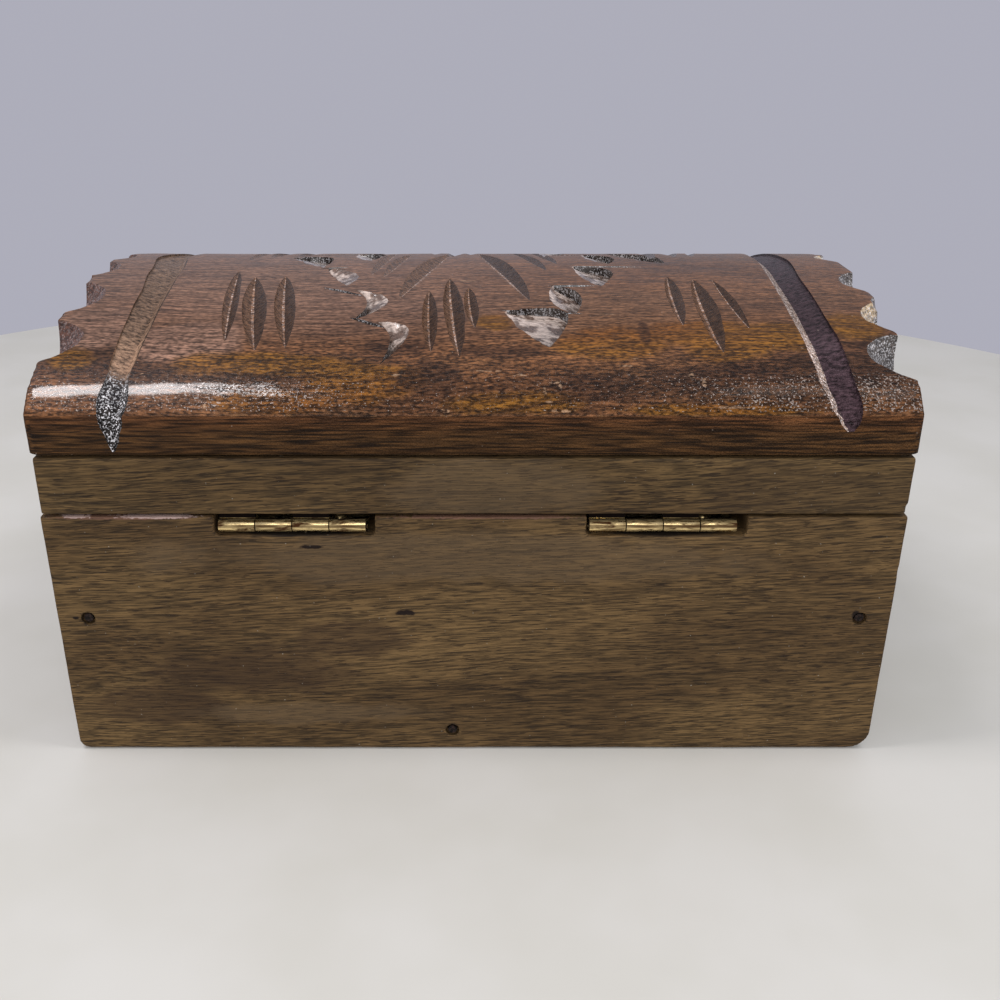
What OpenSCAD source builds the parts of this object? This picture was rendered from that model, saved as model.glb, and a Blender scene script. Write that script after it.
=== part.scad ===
// Wooden gift box with a domed, carved lid on two brass butt hinges.
// X runs from the left end to the right end, the front faces -Y, +Z is up.
// The origin is under the middle of the base, on the surface it stands on.

/* [Base] */
// Width of the box from end to end
box_w = 148; // [135:1:180]
// Depth of the box from front to back
box_d = 100; // [92:1:120]
// Height of the base, from the floor to the seam
base_h = 48; // [36:1:80]
// Thickness of the base's walls and of the lid's rails
wall_t = 10; // [9:0.5:13]
// Thickness of the bottom board
bottom_t = 8; // [6:0.5:12]
// Rounding of the base's lower left edge
left_round = 4; // [1:0.5:6]
// Rounding of the base's lower right edge
right_round = 2; // [1:0.5:6]
// Bevel along the top of the back panel, which lets the lid swing past it
top_bevel = 0.6; // [0.5:0.1:0.9]

/* [Lid] */
// Gap between the base and the closed lid
seam_gap = 0.3; // [0.2:0.05:0.5]
// Height of the rails under the lid's top board
rail_h = 10.4; // [8:0.2:16]
// How far the rails stand back from the ends of the top board
rail_inset = 0.35; // [0:0.05:1]
// Height of the top board's flat edge at the front and the back
edge_h = 7.3; // [6:0.1:12]
// Radius of the domed crown
crown_r = 112; // [100:1:160]
// Radius of the shoulder between the crown and the edge
shoulder_r = 22; // [14:1:26]
// Slope of the shoulder where it meets the flat edge, in degrees
shoulder_slope = 50; // [40:1:60]

/* [Carved ends] */
// Radius of the gouge that cuts the scallops in the lid's ends
scallop_r = 6.8; // [6.2:0.1:7.6]
// Slope of the scallops, in degrees
scallop_slope = 48; // [35:1:60]
// How much deeper every scallop bites than listed
scallop_extra = 0; // [-1:0.1:1]

/* [Carved top] */
// Distance of the carved straps from the ends of the lid
strap_inset = 13.7; // [11:0.1:18]
// Width of the carved straps
strap_w = 5.2; // [3:0.1:7]
// Depth of the carved straps at their steep inner side
strap_depth = 1.4; // [0.8:0.1:2]
// How far a strap's sloping floor has run out above the top at its outer side
strap_run_out = 0.25; // [0.1:0.05:0.5]
// Length of the left strap's tip down the front and back edges
left_tip = 2.4; // [1:0.1:6]
// Length of the right strap's tip down the front and back edges
right_tip = 5.8; // [1:0.1:6]
// Greatest depth of the long gouge cuts
long_depth = 1.4; // [1:0.1:2.2]
// Depth of the short gouge cuts
short_depth = 0.85; // [0.8:0.05:1.2]
// Depth of the crescent chip cuts
chip_depth = 1.8; // [1:0.1:2.4]
// Bulge of a chip cut's wall, as a share of its width
chip_bulge = 0.12; // [0.06:0.02:0.2]

/* [Hinges] */
// Length of a hinge
hinge_l = 25.4; // [20:0.2:32]
// Distance between the middles of the two hinges
hinge_spacing = 63.6; // [50:0.2:80]
// Offset of the pair of hinges from the middle of the box
hinge_shift = -0.6; // [-2:0.1:2]
// Radius of the barrel
barrel_r = 1.15; // [1.1:0.05:1.3]
// Radius of the hinge pin
pin_r = 0.55; // [0.4:0.05:0.6]
// Running clearance around the hinge pin
pin_clear = 0.04; // [0.02:0.01:0.08]
// Thickness of the hinge leaves
leaf_t = 0.6; // [0.4:0.05:0.7]
// Gap between neighbouring knuckles
knuckle_gap = 0.2; // [0.1:0.05:0.4]
// Distance of the pin's axis in from the back face
axis_inset = 1.5; // [1.3:0.05:1.6]
// Distance of the pin's axis below the underside of the lid
axis_drop = 2.5; // [2.4:0.05:2.8]
// Space under the barrel in its mortise
barrel_clear = 0.1; // [0.05:0.05:0.3]
// Gap at the right-hand end of each mortise
mortise_gap_right = 0.4; // [0.2:0.1:1]
// Gap at the left-hand end of each mortise
mortise_gap_left = 1.5; // [0.2:0.1:2]

/* [Screws and brads] */
// Radius of the hinge screws' shanks
screw_r = 0.5; // [0.4:0.05:0.7]
// Length of the hinge screws under their heads
screw_l = 6; // [4:0.5:8]
// Radius of the hinge screws' heads
screw_head_r = 1.1; // [0.9:0.05:1.3]
// Height of the hinge screws' heads
screw_head_h = 0.6; // [0.4:0.05:0.8]
// Radius of the brads' shanks
brad_r = 0.7; // [0.5:0.05:0.9]
// Radius of the brads' heads
brad_head_r = 1; // [0.95:0.05:1.3]
// Length of the brads
brad_l = 20; // [14:1:24]
// How far the brads' heads are punched below the surface
brad_sink = 0.5; // [0.2:0.1:1]
// Height of the side brads above the floor
brad_z = 28; // [18:1:34]
// Clearance around brads and screws in the wood and the leaves
hold_clear = 0.03; // [0.01:0.01:0.05]

/* [Hidden] */
$fn = 64;

// Cutters run past the faces that they cut by this much
past = 1;
// A hinge has two knuckles on each leaf
knuckles = 4;
// Margin between a hinge leaf's inner edge and the inside of the wall
leaf_margin = 0.5;
// Gouge cuts of this length or more are straight
long_gouge = 27.5;
// Gap between the base leaf's edge and the lid leaf's knuckles
knuckle_relief = 0.2;
// Distance of the hinge screws from the ends of a leaf
screw_end = 5;
// Height of the brads' heads
brad_head_h = 1;

half_w = box_w / 2;
half_d = box_d / 2;
rail_z = base_h + seam_gap;
top_z = rail_z + rail_h;
edge_z = top_z + edge_h;

// The crown and the shoulder meet where both slope by crown_slope
crown_slope = asin((half_d - shoulder_r * sin(shoulder_slope)) / (crown_r - shoulder_r));
dome_rise = shoulder_r * (cos(crown_slope) - cos(shoulder_slope))
    + crown_r * (1 - cos(crown_slope));
dome_z = edge_z + dome_rise;
crown_y = crown_r * sin(crown_slope);
crown_centre_z = dome_z - crown_r;
shoulder_y = (crown_r - shoulder_r) * sin(crown_slope);
shoulder_z = crown_centre_z + (crown_r - shoulder_r) * cos(crown_slope);

axis_y = half_d - axis_inset;
axis_z = rail_z - axis_drop;
leaf_reach = wall_t - axis_inset - leaf_margin;
mortise_z = axis_z - barrel_r - barrel_clear;
base_leaf_z = mortise_z - axis_z;
knuckle_l = hinge_l / knuckles;
hinge_xs = [hinge_shift - hinge_spacing / 2, hinge_shift + hinge_spacing / 2];
screw_reach = (leaf_reach + barrel_r) / 2;
bore_r = pin_r + pin_clear;

// Height of the dome's surface at a distance from the middle line
function surface_z(y) = abs(y) <= crown_y
    ? crown_centre_z + sqrt(crown_r * crown_r - y * y)
    : shoulder_z + sqrt(max(0, pow(shoulder_r, 2) - pow(abs(y) - shoulder_y, 2)));

// Slope of the dome's surface there, downwards to the back
function surface_slope(y) = abs(y) <= crown_y
    ? asin(y / crown_r)
    : sign(y) * asin(min(1, (abs(y) - shoulder_y) / shoulder_r));

// Scallops along each end, as hand-spaced: distance from the middle and bite
left_scallops = [[41, 6.4], [26, 4.8], [4.5, 4], [-15, 5], [-34, 5.2]];
right_scallops = [[36, 6], [17.5, 4.6], [-4, 3.6], [-23, 4.8], [-40, 5.4]];
// Gouge cuts on the back half of the top: x, y, length, width, turn
back_gouges = [
    [44.8, 20, 30, 3.0, 5], [40, 25, 29, 4.6, 8], [34.5, 23, 29, 3.8, 8],
    [-37.4, 20, 23, 3.0, -3], [-42.6, 25, 29, 4.0, 0], [-47.5, 21, 21, 2.0, 6],
    [7.9, 28, 22, 3.0, 2], [3.7, 26, 28, 3.8, 4], [0.4, 24, 15, 2.4, 5]];
// Gouge cuts that fan out across the middle of the top
middle_gouges = [
    [9.5, 1, 33, 3.8, -13], [16, -1, 17, 2.2, -8], [19, -4, 16, 2.0, -6],
    [-5.6, 1, 35, 4.2, 12], [-11.4, -7, 18, 2.2, 12], [-14.6, -12, 14, 2.0, 12]];
// Chip cuts on the back half: x and y of the wall's middle, reach, width, turn
back_chips = [
    [16.4, 35.6, 4.6, 9, 1], [21.3, 22.1, 5.2, 11, 5], [26.6, 8.5, 4.6, 12, 23],
    [-14.5, 33.8, 8, 15, 170], [-19.5, 22.4, 5, 15, 187], [-29.3, 9.7, 6.2, 15, 163]];

// Wood colours: oiled top, bare walls, darker end grain
varnished = [0.24, 0.12, 0.07];
bare = [0.32, 0.24, 0.15];
dark = [0.2, 0.14, 0.09];
brass = [0.72, 0.58, 0.3];
steel = [0.35, 0.33, 0.3];

// A cylinder along X, centred on the origin
module rod_x(r, l) {
    rotate([0, 90, 0]) cylinder(h = l, r = r, center = true);
}

// The base's outer form, rounded along its two lower end edges
module base_form() {
    lean_w = box_w - left_round - right_round;
    tall_r = max(left_round, right_round);
    translate([-half_w + left_round, -half_d, 0]) cube([lean_w, box_d, base_h]);
    translate([-half_w, -half_d, tall_r]) cube([box_w, box_d, base_h - tall_r]);
    for (side = [[-1, left_round], [1, right_round]]) {
        translate([side[0] * (half_w - side[1]), half_d, side[1]]) rotate([90, 0, 0])
            cylinder(h = box_d, r = side[1]);
        low_x = side[0] < 0 ? -half_w : half_w - side[1];
        translate([low_x, -half_d, side[1]]) cube([side[1], box_d, tall_r - side[1] + past]);
    }
}

// A brad with its head at z = 0 and its shank below; grow widens it for its hole
module brad(grow = 0) {
    translate([0, 0, -brad_head_h]) cylinder(h = brad_head_h, r = brad_head_r + grow);
    translate([0, 0, -brad_l - grow]) cylinder(h = brad_l - brad_head_h + past / 2, r = brad_r + grow);
}

// A brad's hole, open at the surface at z = 0
module brad_hole() {
    translate([0, 0, -brad_sink]) brad(hold_clear);
    translate([0, 0, -brad_sink - past / 2])
        cylinder(h = brad_sink + past, r = brad_head_r + hold_clear);
}

// Places brads in a panel at y = half_d: two near its ends, one into the bottom board
module at_panel_brads() {
    brad_x = half_w - wall_t * 0.55;
    for (place = [[-brad_x, brad_z], [brad_x, brad_z], [wall_t * 0.4, bottom_t / 2]])
        translate([place[0], half_d, place[1]]) rotate([-90, 0, 0]) children();
}

// Places the brads that hold the end panels to the bottom board
module at_end_brads() {
    for (side = [-1, 1])
        translate([side * half_w, 0, bottom_t / 2]) rotate([0, side * 90, 0]) children();
}

module back_face_brads() {
    at_panel_brads() translate([0, 0, -brad_sink]) brad();
}

// Places something at both screws of a hinge leaf, at height z, relative to the hinge
module at_leaf_screws(z) {
    for (side = [-1, 1])
        translate([side * (hinge_l / 2 - screw_end), -screw_reach, z]) children();
}

// Places something at a hinge's axis
module at_hinge(index) {
    translate([hinge_xs[index], axis_y, axis_z]) children();
}

// A round-headed wood screw with its head above z = 0 and its shank below
module screw(grow = 0) {
    cylinder(h = screw_head_h, r1 = screw_head_r, r2 = screw_head_r * 0.7);
    screw_shank(grow);
}

module screw_shank(grow = 0) {
    point_l = screw_r * 2;
    translate([0, 0, point_l - screw_l]) cylinder(h = screw_l - point_l, r = screw_r + grow);
    translate([0, 0, -screw_l - grow]) cylinder(h = point_l + grow, r1 = 0.1 + grow, r2 = screw_r + grow);
}

// The notch in the top of the back panel that holds one hinge
module mortise() {
    translate([-hinge_l / 2 - mortise_gap_left, -wall_t, mortise_z - axis_z])
        cube([hinge_l + mortise_gap_left + mortise_gap_right, 2 * wall_t, base_h]);
}

// A bevel along the top of the back panel, shallower than it is wide
module back_bevel() {
    translate([0, half_d, base_h]) rotate([0, 90, 0])
        linear_extrude(box_w + 2 * past, center = true)
            polygon([[-past, -top_bevel - past], [-past, past], [top_bevel + past, past],
                [top_bevel, 0], [0, -top_bevel]]);
}

module wall_panel() {
    intersection() {
        base_form();
        translate([-half_w, half_d - wall_t, 0]) cube([box_w, wall_t, base_h]);
    }
}

module back_panel() {
    color(bare) difference() {
        wall_panel();
        back_bevel();
        at_panel_brads() brad_hole();
        for (i = [0, 1]) at_hinge(i) {
            mortise();
            at_leaf_screws(base_leaf_z + leaf_t) screw_shank(hold_clear);
        }
    }
}

module front_panel() {
    color(varnished) mirror([0, 1, 0]) difference() {
        wall_panel();
        at_panel_brads() brad_hole();
    }
}

// An end panel stands between the front and back panels; side is -1 left, 1 right
module end_panel(side) {
    color(dark) difference() {
        intersection() {
            base_form();
            translate([side * (half_w - wall_t / 2) - wall_t / 2, wall_t - half_d, 0])
                cube([wall_t, box_d - 2 * wall_t, base_h]);
        }
        at_panel_brads() brad_hole();
        mirror([0, 1, 0]) at_panel_brads() brad_hole();
        at_end_brads() brad_hole();
    }
}

module bottom_panel() {
    color(bare) difference() {
        translate([wall_t - half_w, wall_t - half_d, 0])
            cube([box_w - 2 * wall_t, box_d - 2 * wall_t, bottom_t]);
        at_panel_brads() brad_hole();
        mirror([0, 1, 0]) at_panel_brads() brad_hole();
        at_end_brads() brad_hole();
    }
}

// One knuckle of a hinge, centred on the pin's axis; slot counts from the left
module at_knuckle(slot) {
    translate([(slot + 0.5) * knuckle_l - hinge_l / 2, 0, 0]) children();
}

// The base leaf lies on the mortise's floor and has the first and third knuckles
module base_leaf() {
    edge = barrel_r + knuckle_relief;
    color(brass) difference() {
        union() {
            translate([-hinge_l / 2, -leaf_reach, base_leaf_z])
                cube([hinge_l, leaf_reach - edge, leaf_t]);
            for (slot = [0, 2]) at_knuckle(slot) {
                rod_x(barrel_r, knuckle_l - knuckle_gap);
                translate([-(knuckle_l - knuckle_gap) / 2, -edge - past / 2, base_leaf_z])
                    cube([knuckle_l - knuckle_gap, edge + past / 2, leaf_t]);
            }
        }
        rod_x(bore_r, hinge_l + past);
        at_leaf_screws(base_leaf_z - past) cylinder(h = 3 * past, r = screw_r + hold_clear);
    }
}

// The lid leaf lies under the lid's back rail, turns down and has the other knuckles
module lid_leaf() {
    color(brass) difference() {
        union() {
            translate([-hinge_l / 2, -leaf_reach, axis_drop - leaf_t])
                cube([hinge_l, leaf_reach - barrel_r + leaf_t, leaf_t]);
            for (slot = [1, 3]) at_knuckle(slot) {
                rod_x(barrel_r, knuckle_l - knuckle_gap);
                translate([-(knuckle_l - knuckle_gap) / 2, -barrel_r, 0])
                    cube([knuckle_l - knuckle_gap, leaf_t, axis_drop - leaf_t / 2]);
            }
        }
        rod_x(bore_r, hinge_l + past);
        at_leaf_screws(axis_drop - 2 * past) cylinder(h = 3 * past, r = screw_r + hold_clear);
    }
}

module hinge_pin() {
    color(steel) rod_x(pin_r, hinge_l);
}

module hinge_base_screws() {
    color(brass) for (i = [0, 1]) at_hinge(i) at_leaf_screws(base_leaf_z + leaf_t) screw();
}

module hinge_lid_screws() {
    color(brass) for (i = [0, 1]) at_hinge(i)
        at_leaf_screws(axis_drop - leaf_t) mirror([0, 0, 1]) screw();
}

// A cylinder along X, or a cone that narrows by taper for each length towards -X
module rod_cone(r, l, taper) {
    rotate([0, 90, 0]) cylinder(h = l, r1 = r - taper * l / 2, r2 = r + taper * l / 2, center = true);
}

// The top board before carving: a domed crown between two shoulders.
// depth takes a layer off the dome, and taper slopes it, for the floor of the straps
module dome(w, depth = 0, taper = 0) {
    intersection() {
        translate([-w / 2, -half_d, top_z]) cube([w, box_d, dome_z]);
        union() {
            intersection() {
                translate([0, 0, crown_centre_z]) rod_cone(crown_r - depth, w, taper);
                translate([-w / 2, -crown_y, top_z]) cube([w, 2 * crown_y, dome_z]);
            }
            for (side = [-1, 1])
                translate([0, side * shoulder_y, shoulder_z]) rod_cone(shoulder_r - depth, w, taper);
            translate([-w / 2, -half_d, top_z]) cube([w, box_d, edge_h - 4 * depth]);
        }
    }
}

// A channel across the dome, deepest along its inner side at -X, with a tip down each edge
module strap(tip) {
    difference() {
        translate([-strap_w / 2, -half_d - past, edge_z - 2 * past])
            cube([strap_w, box_d + 2 * past, dome_rise + 3 * past]);
        dome(strap_w + 2 * past, (strap_depth - strap_run_out) / 2,
            (strap_depth + strap_run_out) / strap_w);
    }
    for (side = [-1, 1])
        translate([0, side * half_d, edge_z]) rotate([90, 0, 0])
            linear_extrude(strap_depth, center = true)
                polygon([[-strap_w / 2, past], [-strap_w / 2, 0], [0, -tip],
                    [strap_w / 2 - past, 0], [strap_w / 2 - past, past]]);
}

// Places something on the dome's surface, with local Z along its normal
module on_dome(x, y, turn) {
    translate([x, y, surface_z(y)]) rotate([-surface_slope(y), 0, 0]) rotate([0, 0, turn]) children();
}

// One gouge cut, a spindle: a long one is a straight cylinder, which the dome falls away from
// at both ends, and a short one is a ring dipped into the dome
module gouge_cut(length, width) {
    long = length >= long_gouge;
    depth = long ? min(long_depth, length * length / (8 * crown_r)) : short_depth;
    tool_r = (width * width / 4 + depth * depth) / (2 * depth);
    if (long)
        translate([0, 0, tool_r - depth]) rotate([90, 0, 0])
            cylinder(h = 2 * length, r = tool_r, center = true);
    else {
        sweep_r = 1 / (8 * depth / (length * length) - 1 / crown_r);
        translate([0, 0, sweep_r - depth]) rotate([0, 90, 0])
            rotate_extrude() translate([sweep_r - tool_r, 0]) circle(tool_r);
    }
}

// One chip cut, a crescent: its floor falls from nothing to a wall that bulges into it
module chip_cut(reach, width) {
    outer_r = (reach * reach + width * width / 4) / (2 * reach);
    bulge = width * chip_bulge;
    inner_r = (bulge * bulge + width * width / 4) / (2 * bulge);
    translate([0, 0, -chip_depth]) rotate([0, atan(chip_depth / reach), 0])
        linear_extrude(4 * chip_depth) difference() {
            translate([outer_r - reach - past, 0]) circle(outer_r);
            translate([inner_r - bulge, 0]) circle(inner_r);
        }
}

// One scallop across the top edge of the right-hand end
module scallop(y, bite) {
    translate([half_w - bite - scallop_extra, y, surface_z(y)]) rotate([0, scallop_slope, 0])
        translate([0, 0, scallop_r]) rod_x(scallop_r, 4 * scallop_r);
}

module carving() {
    for (c = right_scallops) scallop(c[0], c[1]);
    mirror([1, 0, 0]) for (c = left_scallops) scallop(c[0], c[1]);
    translate([half_w - strap_inset, 0, 0]) strap(right_tip);
    mirror([1, 0, 0]) translate([half_w - strap_inset, 0, 0]) strap(left_tip);
    for (half = [0, 1]) mirror([0, half, 0]) {
        for (g = back_gouges) on_dome(g[0], g[1], g[4]) gouge_cut(g[2], g[3]);
        for (c = back_chips) on_dome(c[0], c[1], c[4]) chip_cut(c[2], c[3]);
    }
    for (g = middle_gouges) on_dome(g[0], g[1], g[4]) gouge_cut(g[2], g[3]);
}

module lid_top() {
    color(varnished) difference() {
        dome(box_w);
        carving();
    }
}

// A long rail of the lid, at y = half_d, as long as the box less its insets
module long_rail() {
    rail_l = box_w - 2 * rail_inset;
    translate([-rail_l / 2, half_d - wall_t, rail_z]) cube([rail_l, wall_t, rail_h]);
}

module lid_back_rail() {
    color(bare) difference() {
        long_rail();
        for (i = [0, 1]) at_hinge(i)
            at_leaf_screws(axis_drop - leaf_t) mirror([0, 0, 1]) screw_shank(hold_clear);
    }
}

module lid_front_rail() {
    color(varnished) mirror([0, 1, 0]) long_rail();
}

// A short rail of the lid, between the long ones; side is -1 left, 1 right
module short_rail(side) {
    color(dark)
        translate([side * (half_w - rail_inset - wall_t / 2) - wall_t / 2, wall_t - half_d, rail_z])
            cube([wall_t, box_d - 2 * wall_t, rail_h]);
}

back_panel();
front_panel();
end_panel(-1);  // left_end_panel
end_panel(1);  // right_end_panel
bottom_panel();
at_hinge(0) base_leaf();  // left_hinge_base_leaf
at_hinge(1) base_leaf();  // right_hinge_base_leaf
at_hinge(0) hinge_pin();  // left_hinge_pin
at_hinge(1) hinge_pin();  // right_hinge_pin
hinge_base_screws();
color(steel) back_face_brads();  // back_panel_brads
color(steel) mirror([0, 1, 0]) back_face_brads();  // front_panel_brads
color(steel) at_end_brads() translate([0, 0, -brad_sink]) brad();  // end_panel_brads
lid_top();
lid_back_rail();
lid_front_rail();
short_rail(-1);  // lid_left_rail
short_rail(1);  // lid_right_rail
at_hinge(0) lid_leaf();  // left_hinge_lid_leaf
at_hinge(1) lid_leaf();  // right_hinge_lid_leaf
hinge_lid_screws();
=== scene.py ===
import math
import random

import bpy
from mathutils import Matrix, Vector


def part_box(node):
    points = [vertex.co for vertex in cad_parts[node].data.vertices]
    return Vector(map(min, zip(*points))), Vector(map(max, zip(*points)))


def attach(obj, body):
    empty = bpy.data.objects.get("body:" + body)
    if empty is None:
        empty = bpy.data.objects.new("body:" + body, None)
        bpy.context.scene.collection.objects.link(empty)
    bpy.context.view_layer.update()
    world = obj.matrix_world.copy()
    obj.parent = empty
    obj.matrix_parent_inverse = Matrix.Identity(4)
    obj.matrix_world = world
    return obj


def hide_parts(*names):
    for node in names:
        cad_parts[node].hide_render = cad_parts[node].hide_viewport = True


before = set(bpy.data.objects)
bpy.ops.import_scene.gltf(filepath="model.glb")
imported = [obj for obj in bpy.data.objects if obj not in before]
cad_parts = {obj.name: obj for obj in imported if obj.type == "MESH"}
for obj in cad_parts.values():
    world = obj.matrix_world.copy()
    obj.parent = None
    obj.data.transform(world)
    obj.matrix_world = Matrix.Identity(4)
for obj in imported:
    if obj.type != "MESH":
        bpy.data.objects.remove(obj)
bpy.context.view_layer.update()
random.seed(7)
mm = 0.001


# The camera stands behind the box and above it
camera = {"focal": 39.6, "pitch": 24.14, "shift": 0.026, "place": (0, 0.21945, 0.12711)}
bpy.ops.object.camera_add(
    location=camera["place"], rotation=(math.radians(90 - camera["pitch"]), 0, math.radians(180))
)
view = bpy.context.object
view.name = "photoCamera"
view.data.lens = camera["focal"]
view.data.shift_x = camera["shift"]
view.data.clip_start = 0.01
bpy.context.scene.camera = view
bpy.context.scene.view_settings.view_transform = "Standard"
print("camera placed")


# Modelling helpers
def pickOnly(piece):
    bpy.ops.object.select_all(action="DESELECT")
    piece.select_set(True)
    bpy.context.view_layer.objects.active = piece


def settled(name):
    piece = bpy.context.object
    piece.name = piece.data.name = name
    pickOnly(piece)
    bpy.ops.object.transform_apply(location=True, rotation=True, scale=True)
    return piece


def addBlock(name, low, high):
    middle = [(a + b) / 2 for a, b in zip(low, high)]
    bpy.ops.mesh.primitive_cube_add(size=1, location=middle, scale=[b - a for a, b in zip(low, high)])
    return settled(name)


def addRod(name, radius, length, place, turn=(0, 0, 0), sides=48, tip=None):
    tip = radius if tip is None else tip
    bpy.ops.mesh.primitive_cone_add(
        vertices=sides, radius1=radius, radius2=tip, depth=length, location=place, rotation=turn
    )
    return settled(name)


def addBall(name, radius, place=(0, 0, 0), segments=24, rings=16):
    bpy.ops.mesh.primitive_uv_sphere_add(
        segments=segments, ring_count=rings, radius=radius, location=place
    )
    return settled(name)


def shapeWith(piece, kind, **settings):
    pickOnly(piece)
    step = piece.modifiers.new(kind.lower(), kind)
    for key, value in settings.items():
        setattr(step, key, value)
    bpy.ops.object.modifier_apply(modifier=step.name)


def combine(piece, tool, operation="DIFFERENCE"):
    shapeWith(piece, "BOOLEAN", operation=operation, solver="MANIFOLD", object=tool)
    bpy.data.objects.remove(tool)


# Every face carries a number for the material to read: what cut it, or how light or dark its painted shading
# is
def markFaces(piece, label, value):
    mark = piece.data.attributes.new(label, "FLOAT", "FACE")
    for face, item in zip(piece.data.polygons, mark.data):
        item.value = value(face.center) if callable(value) else value


def joined(parts, name):
    bpy.ops.object.select_all(action="DESELECT")
    for part in parts:
        part.select_set(True)
    bpy.context.view_layer.objects.active = parts[0]
    if len(parts) > 1:
        bpy.ops.object.join()
    parts[0].name = parts[0].data.name = name
    return parts[0]


def softenEdges(piece, width, segments, angle):
    shapeWith(
        piece, "BEVEL", width=width, segments=segments, limit_method="ANGLE",
        angle_limit=math.radians(angle), use_clamp_overlap=True,
    )


def roughen(piece, strength, size, middle=0.5):
    clouds = bpy.data.textures.new(piece.name + "Clouds", "CLOUDS")
    clouds.noise_scale = size
    clouds.noise_depth = 2
    shapeWith(
        piece, "DISPLACE", texture=clouds, strength=strength, mid_level=middle, texture_coords="LOCAL"
    )


# Even, fine faces: edges wear and flats wander as on wood that was cut by hand
def handWork(piece, voxel, triangles, waver, size):
    shapeWith(piece, "REMESH", mode="VOXEL", voxel_size=voxel)
    shapeWith(piece, "SMOOTH", factor=0.5, iterations=2)
    roughen(piece, waver, size, middle=0.95)
    count = len(piece.data.polygons) * 2
    if count > triangles:
        shapeWith(piece, "DECIMATE", ratio=triangles / count, use_collapse_triangulate=True)


# Goes into edit mode with only the edges that the test says yes to
def pickEdges(piece, test, both=False):
    pickOnly(piece)
    bpy.ops.object.mode_set(mode="EDIT")
    bpy.ops.mesh.select_mode(type="EDGE")
    bpy.ops.mesh.select_all(action="DESELECT")
    bpy.ops.object.mode_set(mode="OBJECT")
    for edge in piece.data.edges:
        a, b = (piece.data.vertices[i].co for i in edge.vertices)
        edge.select = test(a, b) if both else test(a) and test(b)
    bpy.ops.object.mode_set(mode="EDIT")


# A long block cut into slices; each slice is then set by its place along the block
def addSliced(name, slices):
    bpy.ops.mesh.primitive_cube_add(size=2)
    piece = settled(name)
    pickEdges(piece, lambda a, b: abs(a.y - b.y) > 1, both=True)
    bpy.ops.mesh.subdivide(number_cuts=slices - 1)
    bpy.ops.object.mode_set(mode="OBJECT")
    return piece


def finish(piece, body, nodes, material, smoothAngle=40):
    pickOnly(piece)
    bpy.ops.object.shade_smooth_by_angle(angle=math.radians(smoothAngle))
    piece.data.materials.clear()
    piece.data.materials.append(material)
    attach(piece, body)
    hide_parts(*nodes)
    print("made", piece.name, len(piece.data.polygons), "faces")


# Shader helpers: every one adds a node to a tree and gives back what comes out of it
def feed(tree, socket, value):
    if isinstance(value, bpy.types.NodeSocket):
        tree.links.new(value, socket)
    elif value is not None:
        socket.default_value = value


def calc(tree, operation, a, b=None, c=None, clamp=False):
    node = tree.nodes.new("ShaderNodeMath")
    node.operation = operation
    node.use_clamp = clamp
    for socket, value in zip(node.inputs, (a, b, c)):
        feed(tree, socket, value)
    return node.outputs[0]


def vectorCalc(tree, operation, a, b=None, scale=None):
    node = tree.nodes.new("ShaderNodeVectorMath")
    node.operation = operation
    feed(tree, node.inputs[0], a)
    feed(tree, node.inputs[1], b)
    feed(tree, node.inputs[3], scale)
    return node.outputs["Value"] if operation in ("LENGTH", "DOT_PRODUCT") else node.outputs["Vector"]


def stretched(tree, place, share):
    return vectorCalc(tree, "MULTIPLY", place, (share, 1, 1))


def scaled(tree, colour, amount):
    return vectorCalc(tree, "SCALE", colour, scale=amount)


def chained(tree, operation, parts):
    total = parts[0]
    for part in parts[1:]:
        total = calc(tree, operation, total, part)
    return total


def times(tree, *parts):
    return chained(tree, "MULTIPLY", parts)


def most(tree, *parts):
    return chained(tree, "MAXIMUM", parts)


def without(tree, mask):
    return calc(tree, "SUBTRACT", 1.0, mask)


def noise(tree, place, scale, detail=2.0, rough=0.5, bend=0.0):
    node = tree.nodes.new("ShaderNodeTexNoise")
    feed(tree, node.inputs["Vector"], place)
    feed(tree, node.inputs["Scale"], scale)
    node.inputs["Detail"].default_value = detail
    node.inputs["Roughness"].default_value = rough
    node.inputs["Distortion"].default_value = bend
    return node.outputs["Fac"]


def spread(tree, value, low, high, first=0.0, last=1.0, smooth=True):
    node = tree.nodes.new("ShaderNodeMapRange")
    node.interpolation_type = "SMOOTHSTEP" if smooth else "LINEAR"
    labels = ("Value", "From Min", "From Max", "To Min", "To Max")
    for label, item in zip(labels, (value, low, high, first, last)):
        feed(tree, node.inputs[label], item)
    return node.outputs["Result"]


def blendColour(tree, amount, a, b):
    node = tree.nodes.new("ShaderNodeMix")
    node.data_type = "RGBA"
    feed(tree, node.inputs[0], amount)
    feed(tree, node.inputs[6], (*a, 1) if isinstance(a, tuple) else a)
    feed(tree, node.inputs[7], (*b, 1) if isinstance(b, tuple) else b)
    return node.outputs[2]


def axes(tree, place):
    node = tree.nodes.new("ShaderNodeSeparateXYZ")
    feed(tree, node.inputs[0], place)
    return node.outputs[0], node.outputs[1], node.outputs[2]


numberKind, vectorKind = "NodeSocketFloat", "NodeSocketVector"


# Every group is given a place and its own inputs, and gives back numbers
def newGroup(name, inputs, outputs):
    tree = bpy.data.node_groups.new(name, "ShaderNodeTree")
    tree.interface.new_socket("Place", in_out="INPUT", socket_type=vectorKind)
    for label, kind, value in inputs:
        tree.interface.new_socket(label, in_out="INPUT", socket_type=kind).default_value = value
    for label in outputs:
        tree.interface.new_socket(label, in_out="OUTPUT", socket_type=numberKind)
    return tree, tree.nodes.new("NodeGroupInput").outputs, tree.nodes.new("NodeGroupOutput").inputs


def useGroup(tree, group, **values):
    node = tree.nodes.new("ShaderNodeGroup")
    node.node_tree = group
    for label, value in values.items():
        feed(tree, node.inputs[label], value)
    return node.outputs


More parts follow.
